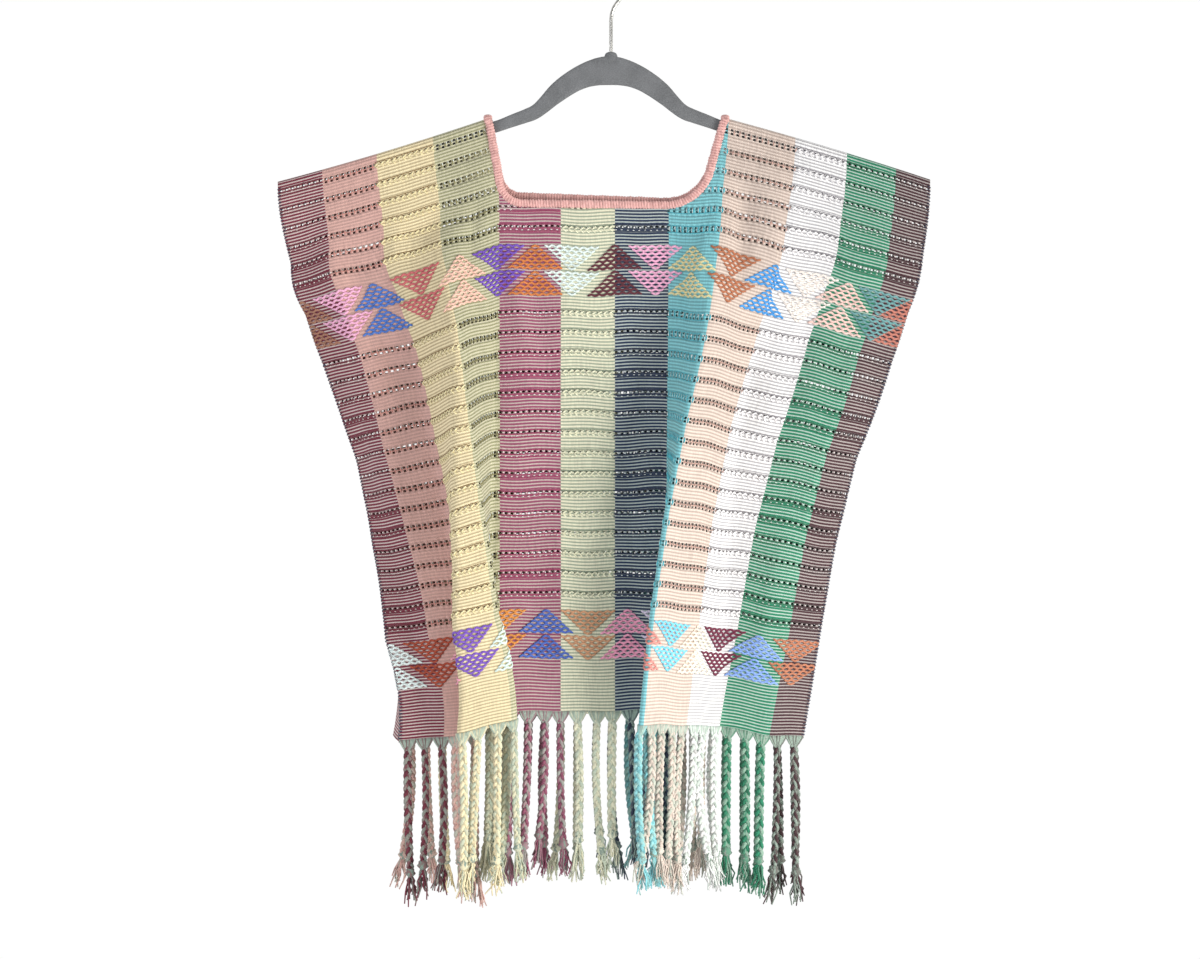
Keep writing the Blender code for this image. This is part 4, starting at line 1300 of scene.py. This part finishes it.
def flock_material():
    """Flocked plastic: matt grey with strong sheen and a fine fuzzy relief."""
    material, tree, shader = new_material(
        "grey_flocked_plastic", 0.95, Sheen_Weight=0.35, Sheen_Roughness=0.35,
    )
    place = add(tree, "ShaderNodeTexCoord")
    where = place.outputs["Object"]
    fuzz = add(tree, "ShaderNodeTexNoise", {"Vector": where, "Scale": 1400.0, "Detail": 2.0})
    worn = add(tree, "ShaderNodeTexNoise", {"Vector": where, "Scale": 45.0, "Detail": 3.0})
    mixed = add(
        tree, "ShaderNodeMath",
        {0: worn.outputs["Fac"], 1: 0.6, 2: fuzz.outputs["Fac"]}, operation="MULTIPLY_ADD",
    )
    tone = add(tree, "ShaderNodeValToRGB", {"Fac": mixed.outputs[0]})
    tone.color_ramp.elements[0].position = 0.5
    tone.color_ramp.elements[0].color = linear("#595b5d")
    tone.color_ramp.elements[1].position = 1.0
    tone.color_ramp.elements[1].color = linear("#7c7e81")
    tree.links.new(tone.outputs["Color"], shader.inputs["Base Color"])
    bump = add(tree, "ShaderNodeBump", {"Strength": 0.6, "Distance": 0.2 * MM, "Height": fuzz.outputs["Fac"]})
    tree.links.new(bump.outputs["Normal"], shader.inputs["Normal"])
    return material


def make_hanger(flock):
    """Arch and arms: a rounded flat section, lofted between smooth top and bottom lines."""
    x = np.concatenate((
        np.linspace(-HANGER_HALF_LENGTH, -HANGER_HALF_LENGTH + END_ROUNDING, 7)[1:-1],
        np.linspace(-HANGER_HALF_LENGTH + END_ROUNDING, HANGER_HALF_LENGTH - END_ROUNDING, 180),
        np.linspace(HANGER_HALF_LENGTH - END_ROUNDING, HANGER_HALF_LENGTH, 7)[1:-1],
    ))
    table = np.array(HANGER_OUTLINE)
    fine = np.abs(x)
    blur = np.linspace(-4.0, 4.0, 9)
    reach = np.abs(fine[:, None] + blur)
    fall = np.where(x < 0.0, ARM_SLOPE_LEFT, ARM_SLOPE_RIGHT) * np.maximum(fine - table[-1, 0], 0.0)
    top = np.interp(reach, table[:, 0], table[:, 1]).mean(axis=1) - fall
    bottom = np.interp(reach, table[:, 0], table[:, 2]).mean(axis=1) - fall
    end = np.clip((HANGER_HALF_LENGTH - fine) / END_ROUNDING, 0.0, 1.0)
    shrink = np.sqrt(np.maximum(1.0 - (1.0 - end) ** 2, 0.04))
    paths = np.stack((x + HANGER_MIDDLE, np.zeros_like(x), 0.5 * (top + bottom)), axis=1)[None]
    deep = HANGER_HALF_DEPTH * (0.4 + 0.6 * shrink)
    lean = np.gradient(0.5 * (top + bottom), x)
    tall = 0.5 * (top - bottom) * shrink / np.sqrt(1.0 + lean ** 2)
    verts, faces = tubes(paths, UP, deep, tall, 28, 0.5)
    return new_object("hanger_flocked", verts, faces, flock)


FLOCK = flock_material()
hanger = stand_for(make_hanger(FLOCK), "hanger_flock", "hanger_body")

# %% The collar and the hook
WIRE_RADIUS = 1.75
HOOK_RADIUS = 22.0
COLLAR_HALF_DEPTH = 2.9


def make_collar(flock):
    """Raised socket at the arch's top, which the hook's stem goes into."""
    z = np.array((-112.0, -107.0, -104.2, -102.4, -101.6, -101.2))
    half = np.array((6.6, 6.2, 5.8, 4.8, 3.2, 1.9))
    paths = np.stack((np.zeros(6), np.zeros(6), z), axis=1)[None]
    verts, faces = tubes(paths, BACKWARD, half, np.minimum(half, COLLAR_HALF_DEPTH), 20)
    return new_object("hanger_collar", verts, faces, flock)


def make_hook():
    """Wire: a straight stem, an easy bend, and a round loop whose inner top is the origin."""
    loop_z = -(HOOK_RADIUS - WIRE_RADIUS)
    angle = np.radians(np.linspace(-42.0, 205.0, 60))
    loop = np.stack((HOOK_RADIUS * np.cos(angle), loop_z + HOOK_RADIUS * np.sin(angle)), axis=1)
    # Stem and bend, across and up, listed
    bend = np.array(((0.0, -112.0), (0.0, -72.0), (0.6, -66.0), (2.6, -60.0), (6.4, -54.4), (11.0, -48.4)))
    flat = spaced(np.concatenate((bend, loop)), 1.2)
    paths = np.stack((flat[:, 0], np.zeros(len(flat)), flat[:, 1]), axis=1)[None]
    half = np.full(len(flat), WIRE_RADIUS)
    half[[0, -1]] = 0.6 * WIRE_RADIUS
    verts, faces = tubes(paths, BACKWARD, half, half, 16)
    return new_object("hook_wire", verts, faces, plated_wire())


def plated_wire():
    """Nickel-plated steel wire: bright, with faint drawing marks along it."""
    material, tree, shader = new_material("nickel_plated_steel", 0.22, Metallic=1.0)
    shader.inputs["Base Color"].default_value = linear("#c9c8c4")
    place = add(tree, "ShaderNodeTexCoord")
    marks = add(tree, "ShaderNodeMapping", {"Vector": place.outputs["Object"], "Scale": (900.0, 900.0, 30.0)})
    noise = add(tree, "ShaderNodeTexNoise", {"Vector": marks.outputs[0], "Scale": 1.0, "Detail": 2.0})
    rough = add(
        tree, "ShaderNodeMapRange",
        {"Value": noise.outputs["Fac"], "To Min": 0.14, "To Max": 0.34},
    )
    tree.links.new(rough.outputs["Result"], shader.inputs["Roughness"])
    return material


stand_for(make_collar(FLOCK), "hanger_flock")
stand_for(make_hook(), "hook_metal", "hanger_hook")

# %% [markdown]

# %% [markdown]
# ## Floor, light and camera
#
# A pale floor far below, a pale surround that is brighter behind the cloth
# than in front of it, a large soft light on the right with a narrow beam,
# which shades the folds, and a weaker one from the left. The camera is level
# with the cloth's middle and far enough away to show it with little
# perspective.

# %% Stage, in metres
FLOOR_Z = -1.7
FLOOR_RADIUS = 4.2
CAMERA_AWAY = 5.0
FIELD_WIDTH = 1.116
LOOK_AT = (-0.0102, -0.4989)


def make_floor():
    """Plain round floor with a pale matt finish."""
    angle = np.linspace(0.0, 2.0 * np.pi, 96, endpoint=False)
    level = np.full(96, FLOOR_Z)
    verts = np.stack((FLOOR_RADIUS * np.cos(angle), FLOOR_RADIUS * np.sin(angle), level), axis=1) / MM
    material, _tree, shader = new_material("pale_painted_floor", 0.95)
    shader.inputs["Base Color"].default_value = linear("#f2f1ef")
    floor = new_object("floor", verts, [list(range(96))], material, shade=False)


def make_light(name, place, aim, size, energy, colour, spread):
    """Square area light turned so that its -Z points at aim; spread is its beam's angle in degrees."""
    data = bpy.data.lights.new(name, "AREA")
    data.size, data.energy, data.color = size, energy, linear(colour)[:3]
    data.spread = np.radians(spread)
    light = bpy.data.objects.new(name, data)
    light.location = place
    light.rotation_euler = (Vector(aim) - Vector(place)).to_track_quat("-Z", "Y").to_euler()
    bpy.context.scene.collection.objects.link(light)


def make_world():
    """White surround: brightest on the side behind the cloth, like a pale wall, dimmer in front."""
    world = bpy.data.worlds.new("surround")
    world.use_nodes = True
    tree = world.node_tree
    place = add(tree, "ShaderNodeTexCoord")
    way = add(tree, "ShaderNodeSeparateXYZ", {0: place.outputs["Generated"]})
    strength = add(
        tree, "ShaderNodeMapRange",
        {"Value": way.outputs["Y"], "From Min": -0.4, "From Max": 0.7, "To Min": 0.5, "To Max": 1.03},
        interpolation_type="SMOOTHSTEP",
    )
    background = tree.nodes["Background"]
    background.inputs["Color"].default_value = linear("#fdfdfd")
    tree.links.new(strength.outputs["Result"], background.inputs["Strength"])
    bpy.context.scene.world = world


make_floor()
make_world()
make_light("key_right", (2.3, -1.65, -0.85), (0.0, 0.0, -0.9), 1.2, 14.5, "#fffcf7", 63.0)
make_light("fill_left", (-2.4, -2.0, -0.7), (0.0, 0.0, -0.8), 1.4, 10.0, "#f8faff", 90.0)
bpy.context.scene.view_settings.view_transform = "Standard"

camera_data = bpy.data.cameras.new("camera")
camera_data.sensor_width = 36.0
camera_data.lens = camera_data.sensor_width * CAMERA_AWAY / FIELD_WIDTH
camera = bpy.data.objects.new("camera", camera_data)
camera.location = (LOOK_AT[0], -CAMERA_AWAY, LOOK_AT[1])
camera.rotation_euler = (0.5 * np.pi, 0.0, 0.0)
bpy.context.scene.collection.objects.link(camera)
bpy.context.scene.camera = camera
